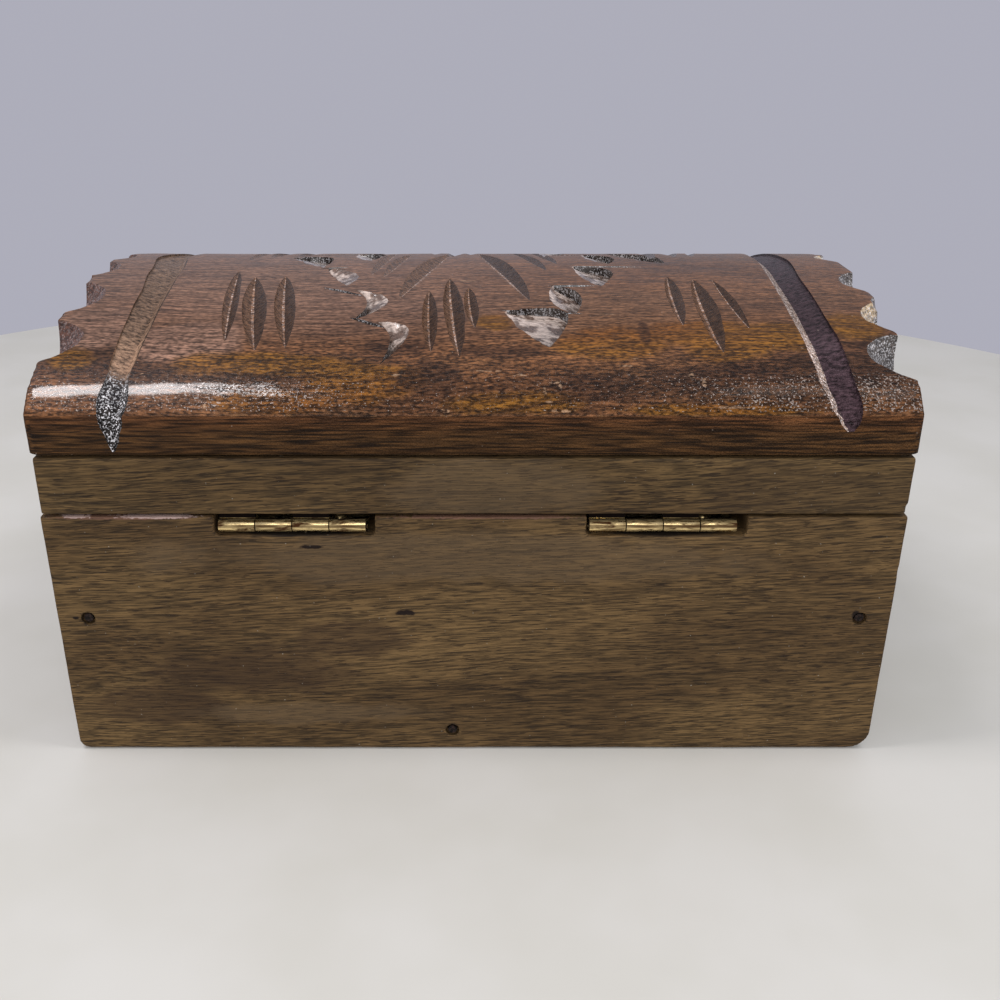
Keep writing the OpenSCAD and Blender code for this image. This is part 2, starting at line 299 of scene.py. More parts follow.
# Wood grain along X: broad figure, fine lines, short dark pores and their relief
def makeGrain():
    tree, given, out = newGroup(
        "woodGrain",
        [("Figure Size", numberKind, 60.0), ("Line Size", numberKind, 2600.0), ("Wave", numberKind, 0.004),
         ("Pore Size", numberKind, 5200.0), ("Pore Share", numberKind, 0.36)],
        ["Figure", "Lines", "Pores", "Height"],
    )
    place = given["Place"]
    drift = tree.nodes.new("ShaderNodeTexNoise")
    feed(tree, drift.inputs["Vector"], stretched(tree, place, 0.5))
    drift.inputs["Scale"].default_value = 28
    drift.inputs["Detail"].default_value = 1
    lean = vectorCalc(tree, "SUBTRACT", drift.outputs["Color"], (0.5, 0.5, 0.5))
    bent = vectorCalc(tree, "ADD", place, scaled(tree, lean, given["Wave"]))
    figure = noise(tree, stretched(tree, bent, 0.3), given["Figure Size"], 3, 0.55, 0.5)
    lines = noise(tree, stretched(tree, bent, 0.05), given["Line Size"], 3, 0.65)
    dashes = noise(tree, stretched(tree, bent, 0.06), given["Pore Size"], 1)
    crowd = noise(tree, stretched(tree, bent, 0.4), 140, 1)
    share = spread(tree, crowd, 0.3, 0.7, 0.03, -0.03)
    floor = calc(tree, "ADD", without(tree, given["Pore Share"]), share)
    pores = spread(tree, dashes, floor, calc(tree, "ADD", floor, 0.07))
    height = calc(tree, "SUBTRACT", times(tree, lines, 0.5), pores)
    for label, value in (("Figure", figure), ("Lines", lines), ("Pores", pores), ("Height", height)):
        feed(tree, out[label], value)
    return tree


# A ragged spot: 1 inside, 0 outside
def makeSpot():
    tree, given, out = newGroup(
        "raggedSpot",
        [("Centre", vectorKind, (0, 0, 0)), ("Reach", vectorKind, (0.01, 0.01, 0.01)),
         ("Ragged", numberKind, 0.5), ("Grit", numberKind, 300.0)],
        ["Mask"],
    )
    away = vectorCalc(tree, "SUBTRACT", given["Place"], given["Centre"])
    away = vectorCalc(tree, "LENGTH", vectorCalc(tree, "DIVIDE", away, given["Reach"]))
    torn = calc(tree, "SUBTRACT", noise(tree, given["Place"], given["Grit"], 3, 0.6), 0.5)
    edge = calc(tree, "MULTIPLY_ADD", torn, given["Ragged"], away)
    feed(tree, out["Mask"], spread(tree, edge, 1.0, 0.6))
    return tree


# Small sparse dots of dust
def makeSpeckle():
    tree, given, out = newGroup("speckle", [("Size", numberKind, 1900.0)], ["Mask"])
    dots = noise(tree, given["Place"], given["Size"], 1)
    feed(tree, out["Mask"], spread(tree, dots, 0.765, 0.815))
    return tree


woodGrain, raggedSpot, speckle = makeGrain(), makeSpot(), makeSpeckle()


def newMaterial(name):
    material = bpy.data.materials.new(name)
    material.use_nodes = True
    tree = material.node_tree
    shader = tree.nodes["Principled BSDF"]
    place = tree.nodes.new("ShaderNodeTexCoord").outputs["Object"]
    return material, tree, shader, place


def addBump(tree, shader, height, distance, strength=1.0):
    bump = tree.nodes.new("ShaderNodeBump")
    bump.inputs["Strength"].default_value = strength
    bump.inputs["Distance"].default_value = distance
    feed(tree, bump.inputs["Height"], height)
    feed(tree, shader.inputs["Normal"], bump.outputs["Normal"])


# The largest of several ragged spots; each is centre, reach, raggedness and grit
def spots(tree, place, listed):
    total = None
    for centre, reach, ragged, grit in listed:
        mask = useGroup(
            tree, raggedSpot, Place=place, Centre=[v * mm for v in centre], Reach=[v * mm for v in reach],
            Ragged=ragged, Grit=grit,
        )["Mask"]
        total = mask if total is None else calc(tree, "MAXIMUM", total, mask)
    return total


# Unvarnished wood. along is the axis the grain follows
bareWood = {
    "light": (0.140, 0.086, 0.036), "middle": (0.088, 0.051, 0.020), "dark": (0.042, 0.023, 0.010),
    "pore": (0.020, 0.011, 0.006), "hole": (0.012, 0.006, 0.004), "dust": (0.42, 0.38, 0.32),
    "lineSize": 3300.0, "dustSize": 1900.0, "lean": math.radians(-2.5), "relief": 0.16 * mm,
}


def makeBareWood(name, along="X", tint=(1, 1, 1), offset=0.0, poreShare=0.40, marks=(), stainsAndShading=()):
    material, tree, shader, place = newMaterial(name)
    where = vectorCalc(tree, "ADD", place, (offset, offset * 0.7, offset * 1.3))
    if along == "Y":
        swap = tree.nodes.new("ShaderNodeCombineXYZ")
        x, y, z = axes(tree, where)
        for socket, value in zip(swap.inputs, (y, x, z)):
            feed(tree, socket, value)
        where = swap.outputs[0]
    else:
        lean = tree.nodes.new("ShaderNodeMapping")
        feed(tree, lean.inputs["Vector"], where)
        lean.inputs["Rotation"].default_value = (0, bareWood["lean"], 0)
        where = lean.outputs["Vector"]
    grain = useGroup(
        tree, woodGrain, **{"Place": where, "Line Size": bareWood["lineSize"], "Pore Share": poreShare}
    )
    figure = spread(tree, grain["Figure"], 0.3, 0.7)
    tone = blendColour(tree, figure, bareWood["dark"], bareWood["light"])
    tone = blendColour(tree, 0.45, tone, bareWood["middle"])
    colour = scaled(tree, tone, spread(tree, grain["Lines"], 0.37, 0.63, 0.45, 1.7, smooth=False))
    colour = vectorCalc(tree, "MULTIPLY", colour, tint)
    colour = blendColour(tree, times(tree, grain["Pores"], 0.75), colour, bareWood["pore"])
    # Stains, painted shadow and painted highlight laid over the grain
    for shade, amount, listed in stainsAndShading:
        colour = blendColour(tree, times(tree, spots(tree, place, listed), amount), colour, shade)
    if marks:
        colour = blendColour(tree, spots(tree, place, marks), colour, bareWood["hole"])
    dust = useGroup(tree, speckle, Place=place, Size=bareWood["dustSize"])["Mask"]
    colour = blendColour(tree, times(tree, dust, 0.5), colour, bareWood["dust"])
    feed(tree, shader.inputs["Base Color"], colour)
    shader.inputs["Specular IOR Level"].default_value = 0.2
    feed(tree, shader.inputs["Roughness"], spread(tree, grain["Lines"], 0.2, 0.8, 0.62, 0.85))
    addBump(tree, shader, grain["Height"], bareWood["relief"], 0.8)
    return material


# Dark steel with rust
steelLook = {
    "clean": (0.016, 0.014, 0.013), "rust": (0.024, 0.009, 0.005), "patchSize": 2200, "relief": 0.1 * mm,
}


def makeSteel():
    material, tree, shader, place = newMaterial("rustySteel")
    rust = spread(tree, noise(tree, place, steelLook["patchSize"], 3, 0.6), 0.4, 0.62)
    colour = blendColour(tree, rust, steelLook["clean"], steelLook["rust"])
    feed(tree, shader.inputs["Base Color"], colour)
    feed(tree, shader.inputs["Roughness"], spread(tree, rust, 0, 1, 0.42, 0.85))
    feed(tree, shader.inputs["Metallic"], spread(tree, rust, 0, 1, 0.9, 0.1))
    addBump(tree, shader, rust, steelLook["relief"])
    return material


# Brass with tarnish patches and green, a painted dark reflection band along the middle of the barrel, and
# near black painted shade where the lid shuts over it
brassLook = {
    # The tarnish colour also paints the dark reflection band; the near black colour is painted shade under
    # the lid
    "clean": (0.84, 0.64, 0.31), "tarnish": (0.060, 0.023, 0.008), "green": (0.10, 0.085, 0.05),
    "lidShade": (0.008, 0.005, 0.004), "reflectionHigh": 46.05 * mm, "lidShadeHigh": (46.86 * mm, 46.94 * mm),
    "reflectionEdge": (0.42 * mm, 0.14 * mm), "relief": 0.05 * mm,
}


def makeBrass(name, shiny=0.24):
    material, tree, shader, place = newMaterial(name)
    drawn = stretched(tree, place, 0.25)
    tarnish = spread(tree, noise(tree, drawn, 900, 4, 0.65, 0.6), 0.40, 0.66)
    z = axes(tree, place)[2]
    # A painted dark reflection band along the middle of the barrel, and painted shade above it where the lid
    # closes over
    away = calc(tree, "ABSOLUTE", calc(tree, "SUBTRACT", z, brassLook["reflectionHigh"]))
    lidShade = spread(tree, z, *brassLook["lidShadeHigh"])
    patchy = spread(tree, noise(tree, drawn, 420, 3, 0.6), 0.36, 0.6, 0.62, 1.0)
    darkReflection = times(tree, spread(tree, away, *brassLook["reflectionEdge"]), 0.95, patchy)
    dull = most(tree, tarnish, darkReflection)
    colour = blendColour(tree, dull, brassLook["clean"], brassLook["tarnish"])
    green = spread(tree, noise(tree, place, 1600, 3, 0.6), 0.62, 0.72)
    colour = blendColour(tree, times(tree, green, 0.5), colour, brassLook["green"])
    colour = blendColour(tree, lidShade, colour, brassLook["lidShade"])
    dull = most(tree, dull, lidShade)
    metal = times(tree, spread(tree, dull, 0, 1, 1.0, 0.4), without(tree, lidShade))
    rough = calc(tree, "MULTIPLY_ADD", lidShade, 0.3, spread(tree, dull, 0, 1, shiny, 0.6))
    feed(tree, shader.inputs["Base Color"], colour)
    feed(tree, shader.inputs["Metallic"], metal)
    feed(tree, shader.inputs["Roughness"], rough)
    shader.inputs["Specular IOR Level"].default_value = 0.06
    addBump(tree, shader, noise(tree, drawn, 3000, 3, 0.6), brassLook["relief"], 0.6)
    return material


# Varnished wood, plain or carved
# The mauve is a painted sheen, the pale chip tone a painted highlight on chip floors blended with chipLow,
# the golden tone a painted highlight in the cups, and the glint and spark tones painted glints and glitter
varnish = {
    "red": (0.112, 0.047, 0.019), "dark": (0.034, 0.015, 0.008), "brown": (0.086, 0.043, 0.020),
    "mauveSheen": (0.150, 0.083, 0.058), "amber": (0.110, 0.046, 0.006), "orange": (0.108, 0.036, 0.008),
    "pore": (0.016, 0.008, 0.005), "dust": (0.42, 0.34, 0.28), "gouge": (0.106, 0.054, 0.030),
    "chip": (0.560, 0.445, 0.390), "chipLow": (0.140, 0.088, 0.066), "leftCup": (0.090, 0.036, 0.022),
    "rightCup": (0.092, 0.078, 0.070), "cupHighlight": (0.500, 0.370, 0.230), "facet": (0.094, 0.066, 0.053),
    "leftStrap": (0.136, 0.083, 0.055), "rightStrap": (0.034, 0.020, 0.024), "black": (0.014, 0.014, 0.015),
    "glint": (0.620, 0.600, 0.620), "glitterHighlight": (0.470, 0.390, 0.350), "scar": (0.46, 0.29, 0.18),
    "edge": (0.046, 0.021, 0.007), "bleed": (0.074, 0.027, 0.010), "worn": (0.26, 0.13, 0.055),
    "bare": (0.130, 0.082, 0.040), "relief": 0.14 * mm, "dustSize": 1700.0, "coat": 0.35, "coatRough": 0.09,
}
varnishGrain = {
    "Figure Size": 42.0, "Line Size": 2000.0, "Pore Size": 4200.0, "Pore Share": 0.38, "Wave": 0.011,
}
domeForm = {
    "crownRadius": 112 * mm, "crownHigh": -31.815 * mm, "crownArc": math.radians(21.61),
    "shoulderRadius": 22 * mm, "shoulderOut": 33.147 * mm, "shoulderHigh": 51.859 * mm,
    "shoulderArc": math.radians(28.39), "edgeOut": 50 * mm, "edgeHigh": 66 * mm, "joinOut": 41.25 * mm,
}


# Places on the dome in mm: centre, reach, raggedness, grit per metre
amberSpots = [
    ((-23.9, 35.2, 74.3), (11, 6, 6), 1.3, 70), ((-37.9, 32.2, 75.2), (11, 5.5, 5), 1.3, 80),
    ((-43.9, 35.7, 74.3), (10, 6, 6), 1.3, 80), ((-53.8, 33.7, 75.3), (9, 5.5, 5), 1.2, 80),
    ((-66.8, 30.2, 76.2), (7, 6, 6), 1.2, 90), ((-3.6, 29.2, 76.2), (4.6, 4.2, 4), 1.3, 110),
    ((18.4, 45, 70.4), (12, 4.6, 5), 1.3, 80), ((31.9, 48.1, 68), (13, 2.4, 3), 1.3, 90),
    ((34.9, 41.2, 72.3), (17, 4, 4), 1.4, 70), ((-6, 48.1, 68), (14, 2.6, 3.4), 1.3, 80),
    ((-38.8, 49.1, 66.9), (20, 1.4, 1.6), 1.3, 90), ((68.8, 39.7, 73.3), (5, 4, 5), 1.1, 120),
]
# Painted sheen patches on the left of the dome
mauveSheenSpots = [((50, 35, 74.5), (15, 7, 6), 1.3, 60), ((66, 30, 76), (8, 10, 6), 1.2, 80)]
darkSpots = [
    ((6.3, 44.6, 70.6), (7, 5, 5), 1.2, 80), ((-5.3, 38, 73.5), (10, 2.8, 3), 1.2, 80),
    ((-20.9, 45.9, 69.9), (11, 3.4, 4), 1.2, 80), ((-36.9, 44.5, 70.6), (10, 3.8, 4), 1.2, 80),
    ((-47.8, 43.3, 71.4), (9, 3.4, 4), 1.2, 80), ((14, 36.2, 74.3), (7, 3, 3), 1.2, 80),
    ((-29.7, 32.2, 75.4), (1.2, 4.4, 4), 0.9, 160), ((-65.8, 43.8, 71.4), (8, 3, 4), 1.2, 80),
]
scars = [
    ((13.2, 43.6, 71.3), (1.5, 0.35, 0.5), 1.6, 1300), ((-2.6, 42.7, 71.6), (3.2, 0.2, 0.3), 2.2, 1500),
    ((-7.6, 43.6, 71.2), (1.4, 0.22, 0.3), 2, 1600), ((-11.7, 46.7, 69.3), (0.34, 1.2, 1.2), 1, 900),
    ((-12.3, 48.1, 68.1), (0.9, 0.3, 0.4), 1.4, 1400), ((-13.5, 45, 70.4), (1.1, 0.3, 0.4), 1.8, 1500),
    ((-14.3, 45.8, 69.8), (0.35, 0.6, 0.7), 1.4, 1400), ((-25.5, 41.6, 72.1), (1.5, 0.22, 0.3), 1, 1200),
    ((-27.3, 39.8, 72.9), (0.9, 0.22, 0.3), 1, 1200), ((-42.3, 48.8, 67.3), (3.4, 0.26, 0.3), 1.6, 1300),
    ((-40, 48.4, 67.8), (1.2, 0.2, 0.3), 2, 1500), ((5, 49.2, 66.8), (1.6, 0.3, 0.4), 2, 1600),
    ((-14.9, 49.2, 66.8), (2.2, 0.3, 0.4), 2.4, 1600), ((1.2, 11.3, 79.7), (2.2, 0.24, 0.5), 0.8, 900),
    ((-23.4, 26.3, 77.1), (2.6, 0.18, 0.3), 1.4, 1300), ((-36.3, 43.7, 71.3), (0.5, 0.9, 1), 2.4, 1700),
    ((-38.2, 45, 70.4), (0.4, 1, 1), 2.4, 1700), ((30.5, 47, 69.1), (0.4, 0.4, 0.5), 1.4, 1300),
    ((55.4, 43.5, 71.4), (0.5, 0.3, 0.4), 1.2, 1300), ((-29.9, 38.6, 73.4), (0.3, 0.25, 0.3), 1.2, 1300),
    ((44.2, 48.7, 67.4), (0.3, 0.7, 0.7), 1.6, 1300),
]


def makeVarnished(name, carved=False, offset=0.0):
    material, tree, shader, place = newMaterial(name)
    where = vectorCalc(tree, "ADD", place, (offset, offset, offset))
    grain = useGroup(tree, woodGrain, Place=where, **varnishGrain)
    fine = noise(tree, stretched(tree, where, 0.4), 2400, 1)
    broad = spread(tree, noise(tree, stretched(tree, where, 0.5), 34), 0.4, 0.62)
    figure = spread(tree, grain["Figure"], 0.34, 0.64)
    colour = blendColour(tree, figure, varnish["dark"], varnish["red"])
    colour = blendColour(tree, times(tree, broad, 0.6), colour, varnish["brown"])
    if carved:
        colour = tintDome(tree, place, colour, broad, grain)
    streak = spread(tree, grain["Lines"], 0.36, 0.64, 0.5, 1.6, smooth=False)
    lower = spread(tree, axes(tree, place)[2], *zones["speckled"], 0.45, 1.0)
    speckled = spread(tree, fine, 0.36, 0.64, -0.62, 0.95, smooth=False)
    speckled = calc(tree, "MULTIPLY_ADD", speckled, lower, 1.0)
    colour = scaled(tree, scaled(tree, colour, streak), speckled)
    colour = blendColour(tree, times(tree, grain["Pores"], 0.55), colour, varnish["pore"])
    coat = varnish["coat"]
    rough = spread(tree, grain["Lines"], 0.3, 0.7, 0.36, 0.5)
    height = times(tree, grain["Height"], 0.5)
    if carved:
        cuts = readCuts(tree, place)
        colour = tintCuts(tree, place, colour, cuts)
        colour = addGlitterHighlights(tree, place, colour, cuts)
        scarred = times(tree, spots(tree, place, scars), cuts["whole"], spread(tree, fine, 0.4, 0.56), 0.7)
        colour = blendColour(tree, scarred, colour, varnish["scar"])
        colour, bare = tintEdge(tree, place, colour, cuts, grain, streak)
        coat, rough = glossOf(tree, place, cuts, grain, bare, rough)
        height = addRelief(tree, place, height, cuts)
    dust = useGroup(tree, speckle, Place=place, Size=varnish["dustSize"])["Mask"]
    colour = blendColour(tree, times(tree, dust, 0.35), colour, varnish["dust"])
    feed(tree, shader.inputs["Base Color"], colour)
    feed(tree, shader.inputs["Roughness"], rough)
    feed(tree, shader.inputs["Coat Weight"], coat)
    shader.inputs["Coat Roughness"].default_value = varnish["coatRough"]
    shader.inputs["Specular IOR Level"].default_value = 0.15
    addBump(tree, shader, height, varnish["relief"], 0.8)
    return material


# Where the looks of the dome change, from and to, in mm
zones = {
    # Among these, the zones of the mauve tone place the painted sheen, and the sparks zones the painted
    # glitter highlights
    "speckled": (77, 72.5), "sheenHigh": (73, 78), "sheenAcross": (-30, 30), "blackBelow": (41, 44.5),
    "strapLight": (27, 41), "back": (0, 10), "sparksTop": (71.9, 70.6), "sparksFoot": (66.3, 66.9),
    "rightCrowd": (-18, -60), "leftCrowd": (12, 30), "leftCrowdTop": (71, 69.8), "bareEdge": (66.4, 66.2),
    "frontEdge": (-42, -46), "ends": (73.45, 73.7), "under": (59.3, 58.9), "bleed": (62, 66.5),
    "edgeRight": (-10, -50), "line": (0.16, 0.05), "lineBack": (48.5, 49.3), "wetTop": (73.5, 70.5),
    "wetFoot": (66.4, 67.6), "broken": (14, 38), "polished": (36, 50), "crownSheen": (75.5, 78.5),
    "grainy": (74, 71.5), "grainyFar": (14, 30), "grainyRight": (-20, -44),
}
zones = {name: (first * mm, last * mm) for name, (first, last) in zones.items()}
edgeHeight, ragHeight, grainyMiddle, lineShift = 66.36 * mm, 0.5 * mm, 58 * mm, 50 * mm


# Broad colour of the dome: a painted mauve sheen along the crown and on the left, then amber and dark patches
def tintDome(tree, place, colour, broad, grain):
    x, _, z = axes(tree, place)
    left = spread(tree, x, *zones["sheenAcross"], 0.25, 0.75)
    high = times(tree, spread(tree, z, *zones["sheenHigh"]), left)
    high = most(tree, high, times(tree, spots(tree, place, mauveSheenSpots), 0.9))
    colour = blendColour(tree, high, colour, varnish["mauveSheen"])
    lines = spread(tree, grain["Lines"], 0.34, 0.6, 0.45, 1.0)
    glow = blendColour(tree, broad, varnish["amber"], varnish["orange"])
    colour = blendColour(tree, times(tree, spots(tree, place, amberSpots), lines, 0.9), colour, glow)
    return blendColour(tree, times(tree, spots(tree, place, darkSpots), 0.7), colour, varnish["dark"])


def readMark(tree, label):
    node = tree.nodes.new("ShaderNodeAttribute")
    node.attribute_name = label
    return node.outputs["Fac"]


# The marks that the carving left on the faces, and the noises that all cuts share
def readCuts(tree, place):
    x, y, _ = axes(tree, place)
    # cutShade holds each cut face's painted light and shade, as a factor on its colour
    kind, shading = readMark(tree, "cutKind"), readMark(tree, "cutShade")
    cuts = {name: calc(tree, "COMPARE", kind, number, 0.4) for name, number in cutKinds.items()}
    cuts["shading"] = shading
    cuts["any"] = calc(tree, "MINIMUM", kind, 1.0)
    cuts["whole"] = without(tree, cuts["any"])
    cuts["onLeft"] = calc(tree, "GREATER_THAN", x, 0.0)
    cuts["black"] = times(tree, spread(tree, y, *zones["blackBelow"]), cuts["onLeft"])
    cuts["grit"] = noise(tree, stretched(tree, place, 0.5), 1700, 3, 0.65)
    cuts["glitter"] = noise(tree, place, 3000, 1)
    cuts["dots"] = spread(tree, cuts["glitter"], 0.52, 0.60)
    cuts["facets"] = noise(tree, place, 430, 2, 0.55)
    return cuts


# Painted highlights: bright golden spots in cups and at a corner
cupHighlightSpots = [
    ((-73, 25, 77), (5, 5, 4), 1.4, 260), ((71, 45, 70), (4, 4, 3), 1.6, 260),
    ((-71, -12, 79), (4, 4, 3), 1.2, 260),
]


# What each kind of cut shows; the left strap turns black where it passes the shoulder. The glints, the pale
# chip floors and the golden spots in the cups are painted highlights, and each face is lightened or darkened
# by its painted shading
def tintCuts(tree, place, colour, cuts):
    y = axes(tree, place)[1]
    dots, shading, onLeft, black = cuts["dots"], cuts["shading"], cuts["onLeft"], cuts["black"]

    def glinting(share, tone):
        return blendColour(tree, share, tone, varnish["glint"])

    strap = blendColour(tree, onLeft, varnish["rightStrap"], varnish["leftStrap"])
    # Painted glints on the strap facet
    facet = glinting(times(tree, dots, 0.16), varnish["facet"])
    strap = blendColour(tree, calc(tree, "GREATER_THAN", shading, 2.0), strap, facet)
    strap = scaled(tree, strap, spread(tree, y, *zones["strapLight"], 1.0, 2.0))
    strap = blendColour(tree, times(tree, black, 0.95), strap, varnish["black"])
    # Painted glints on the black part of the strap
    strap = glinting(times(tree, black, dots), strap)
    cup = blendColour(tree, onLeft, varnish["rightCup"], varnish["leftCup"])
    cup = blendColour(tree, spots(tree, place, cupHighlightSpots), cup, varnish["cupHighlight"])
    # Painted glints in the cups, more in those on the right
    cup = glinting(times(tree, dots, spread(tree, onLeft, 0.0, 1.0, 0.75, 0.16)), cup)
    # Painted highlights: chip floors blended from a brown tone to a pale pink one over the facets
    chip = blendColour(tree, spread(tree, cuts["facets"], 0.43, 0.56), varnish["chipLow"], varnish["chip"])
    # Painted glints along the gouge keels
    keel = times(tree, dots, calc(tree, "GREATER_THAN", shading, 1.5), 0.22)
    gouge = glinting(keel, varnish["gouge"])
    for kind, tone, share, faint, full in (
        ("gouge", gouge, 0.92, 0.3, 1.75), ("chip", chip, 0.97, 0.6, 1.35),
        ("strap", strap, 1.0, 0.3, 1.75), ("cup", cup, 0.94, 0.3, 1.75),
    ):
        mottle = spread(tree, cuts["grit"], 0.36, 0.64, faint, full, smooth=False)
        # Each face's tone times its mottle and its painted shading
        tone = scaled(tree, tone, times(tree, mottle, shading))
        if kind == "chip":
            # Painted glints on the dark chip walls
            tone = glinting(times(tree, dots, calc(tree, "LESS_THAN", shading, 0.2), 0.5), tone)
        colour = blendColour(tree, times(tree, cuts[kind], share), colour, tone)
    return colour


# Painted highlights: glitter dots in the varnish low on the back, thicker towards both ends
def addGlitterHighlights(tree, place, colour, cuts):
    x, y, z = axes(tree, place)
    low = times(tree, spread(tree, z, *zones["sparksTop"]), spread(tree, z, *zones["sparksFoot"]))
    low = times(tree, low, spread(tree, y, *zones["back"]))
    right = spread(tree, x, *zones["rightCrowd"], 0.0, 0.135)
    left = spread(tree, x, *zones["leftCrowd"], 0.0, 0.085)
    left = times(tree, left, spread(tree, z, *zones["leftCrowdTop"]))
    clumps = spread(tree, noise(tree, place, 190, 2, 0.6), 0.35, 0.65, 0.6, 1.15)
    near = calc(tree, "SUBTRACT", 0.70, times(tree, most(tree, right, left), clumps, low))
    sparks = spread(tree, calc(tree, "SUBTRACT", cuts["glitter"], near), 0.0, 0.06)
    return blendColour(tree, times(tree, sparks, low, cuts["whole"], 0.8), colour, varnish["glitterHighlight"])


# The varnish ends at the edge of the dome; below it the board is bare at the back, the ends and under it
def tintEdge(tree, place, colour, cuts, grain, streak):
    x, y, z = axes(tree, place)
    rag = noise(tree, stretched(tree, place, 0.4), 500, 3, 0.6)
    ragged = calc(tree, "MULTIPLY_ADD", rag, ragHeight, z)
    low = spread(tree, ragged, *zones["bareEdge"])
    low = times(tree, low, spread(tree, y, *zones["frontEdge"], 1.0, 0.0))
    ends = spread(tree, calc(tree, "ABSOLUTE", x), *zones["ends"])
    flat = times(tree, most(tree, low, ends), cuts["whole"])
    under = spread(tree, z, *zones["under"])
    tone = blendColour(tree, spread(tree, z, *zones["bleed"], 0.0, 0.6), varnish["edge"], varnish["bleed"])
    thin = noise(tree, stretched(tree, place, 0.05), 2900, 1)
    for amount in (
        spread(tree, thin, 0.36, 0.64, 0.35, 1.95, smooth=False),
        spread(tree, x, *zones["edgeRight"], 1.0, 1.34),
        spread(tree, grain["Lines"], 0.36, 0.64, 0.65, 1.4, smooth=False),
    ):
        tone = scaled(tree, tone, amount)
    tone = blendColour(tree, times(tree, grain["Pores"], 0.6), tone, varnish["pore"])
    colour = blendColour(tree, flat, colour, tone)
    line = calc(tree, "ABSOLUTE", calc(tree, "SUBTRACT", ragged, edgeHeight))
    worn = spread(tree, noise(tree, place, 260, 4, 0.7), 0.52, 0.62)
    line = times(tree, spread(tree, line, *zones["line"]), worn, cuts["whole"])
    line = times(tree, line, spread(tree, y, *zones["lineBack"]), 0.6)
    colour = blendColour(tree, line, colour, varnish["worn"])
    colour = blendColour(tree, under, colour, scaled(tree, varnish["bare"], streak))
    return colour, most(tree, flat, under)


# Gloss: fullest on the left shoulder and in the chips, none on bare wood
def glossOf(tree, place, cuts, grain, bare, rough):
    x, _, z = axes(tree, place)
    wet = times(tree, spread(tree, z, *zones["wetTop"]), spread(tree, z, *zones["wetFoot"]))
    streaky = calc(tree, "MULTIPLY_ADD", calc(tree, "SUBTRACT", grain["Lines"], 0.5), lineShift, x)
    broken = times(tree, spread(tree, streaky, *zones["broken"]), spread(tree, cuts["glitter"], 0.44, 0.56))
    polished = most(tree, spread(tree, streaky, *zones["polished"]), broken, 0.02)
    glossy = most(tree, times(tree, wet, polished), cuts["chip"], times(tree, cuts["cup"], 0.8))
    glossy = most(tree, glossy, spread(tree, z, *zones["crownSheen"], 0.0, 0.16))
    coat = calc(tree, "MULTIPLY_ADD", glossy, 0.82, 0.03)
    dull = most(tree, bare, times(tree, cuts["strap"], without(tree, cuts["black"]), 0.75))
    shown = without(tree, dull)
    rough = calc(tree, "MULTIPLY_ADD", dull, 0.3, rough, clamp=True)
    crisp = most(tree, times(tree, wet, shown), times(tree, cuts["any"], 0.6))
    return times(tree, coat, shown), times(tree, rough, spread(tree, crisp, 0, 1, 1.0, 0.34))


# Relief: grain, chatter and torn facets in the cuts, glitter on the shoulder
def addRelief(tree, place, height, cuts):
    x, _, z = axes(tree, place)
    height = calc(tree, "ADD", height, times(tree, cuts["any"], cuts["grit"], 2.2))
    facetShare = calc(tree, "MULTIPLY_ADD", cuts["chip"], 9.0, times(tree, cuts["cup"], 4.0))
    height = calc(tree, "ADD", height, times(tree, cuts["facets"], facetShare))
    away = calc(tree, "ABSOLUTE", calc(tree, "SUBTRACT", x, grainyMiddle))
    grains = most(
        tree, spread(tree, away, *zones["grainyFar"], 2.4, 7.0),
        times(tree, cuts["strap"], cuts["black"], 9.0), spread(tree, x, *zones["grainyRight"], 0.0, 12.0),
    )
    return calc(tree, "ADD", height, times(tree, cuts["glitter"], spread(tree, z, *zones["grainy"]), grains))


cutKinds = {"gouge": 1, "chip": 2, "strap": 3, "cup": 4}
domeWood = makeVarnished("varnishedDome", carved=True)
frontWood = makeVarnished("varnishedFront", offset=0.31)
steel = makeSteel()
brass = makeBrass("tarnishedShadedBrass")
screwBrass = makeBrass("screwBrass", 0.3)
print("materials made")


# Lid top board. Its cuts are shaped on the flat, as (across, along, above), and laid over the dome
lidTop = {
    "halfWidth": 74 * mm, "under": 58.7 * mm, "voxel": 0.85 * mm, "triangles": 130000,
    "waver": 0.22 * mm, "waverSize": 0.011, "shoulderSteps": 12, "crownSteps": 48, "clear": 3 * mm,
}
crownRun = domeForm["crownRadius"] * domeForm["crownArc"]
edgeRun = crownRun + domeForm["shoulderRadius"] * domeForm["shoulderArc"]


# The run over the dome from its top to a place y from the middle, and back to a point
def runTo(y):
    far = abs(y)
    if far <= domeForm["joinOut"]:
        run = domeForm["crownRadius"] * math.asin(far / domeForm["crownRadius"])
    elif far <= domeForm["edgeOut"]:
        turn = math.asin((far - domeForm["shoulderOut"]) / domeForm["shoulderRadius"])
        run = crownRun + domeForm["shoulderRadius"] * (turn - domeForm["crownArc"])
    else:
        run = edgeRun + far - domeForm["edgeOut"]
    return math.copysign(run, y)


def domePoint(run, above):
    side, far = math.copysign(1, run), abs(run)
    form = domeForm
    if far <= crownRun:
        turn, out, high, radius = far / form["crownRadius"], 0, form["crownHigh"], form["crownRadius"]
    else:
        turn = form["crownArc"] + (min(far, edgeRun) - crownRun) / form["shoulderRadius"]
        out, high, radius = form["shoulderOut"], form["shoulderHigh"], form["shoulderRadius"]
    y, z = out + radius * math.sin(turn), high + radius * math.cos(turn)
    if far > edgeRun:
        z -= far - edgeRun
        turn += (math.pi / 2 - turn) * min(1, (far - edgeRun) / (2 * mm))
    return side * (y + above * math.sin(turn)), z + above * math.cos(turn)


def layOnDome(tool):
    for corner in tool.data.vertices:
        across, along, above = corner.co
        corner.co = (across, *domePoint(along, above))
    turnOutward(tool)


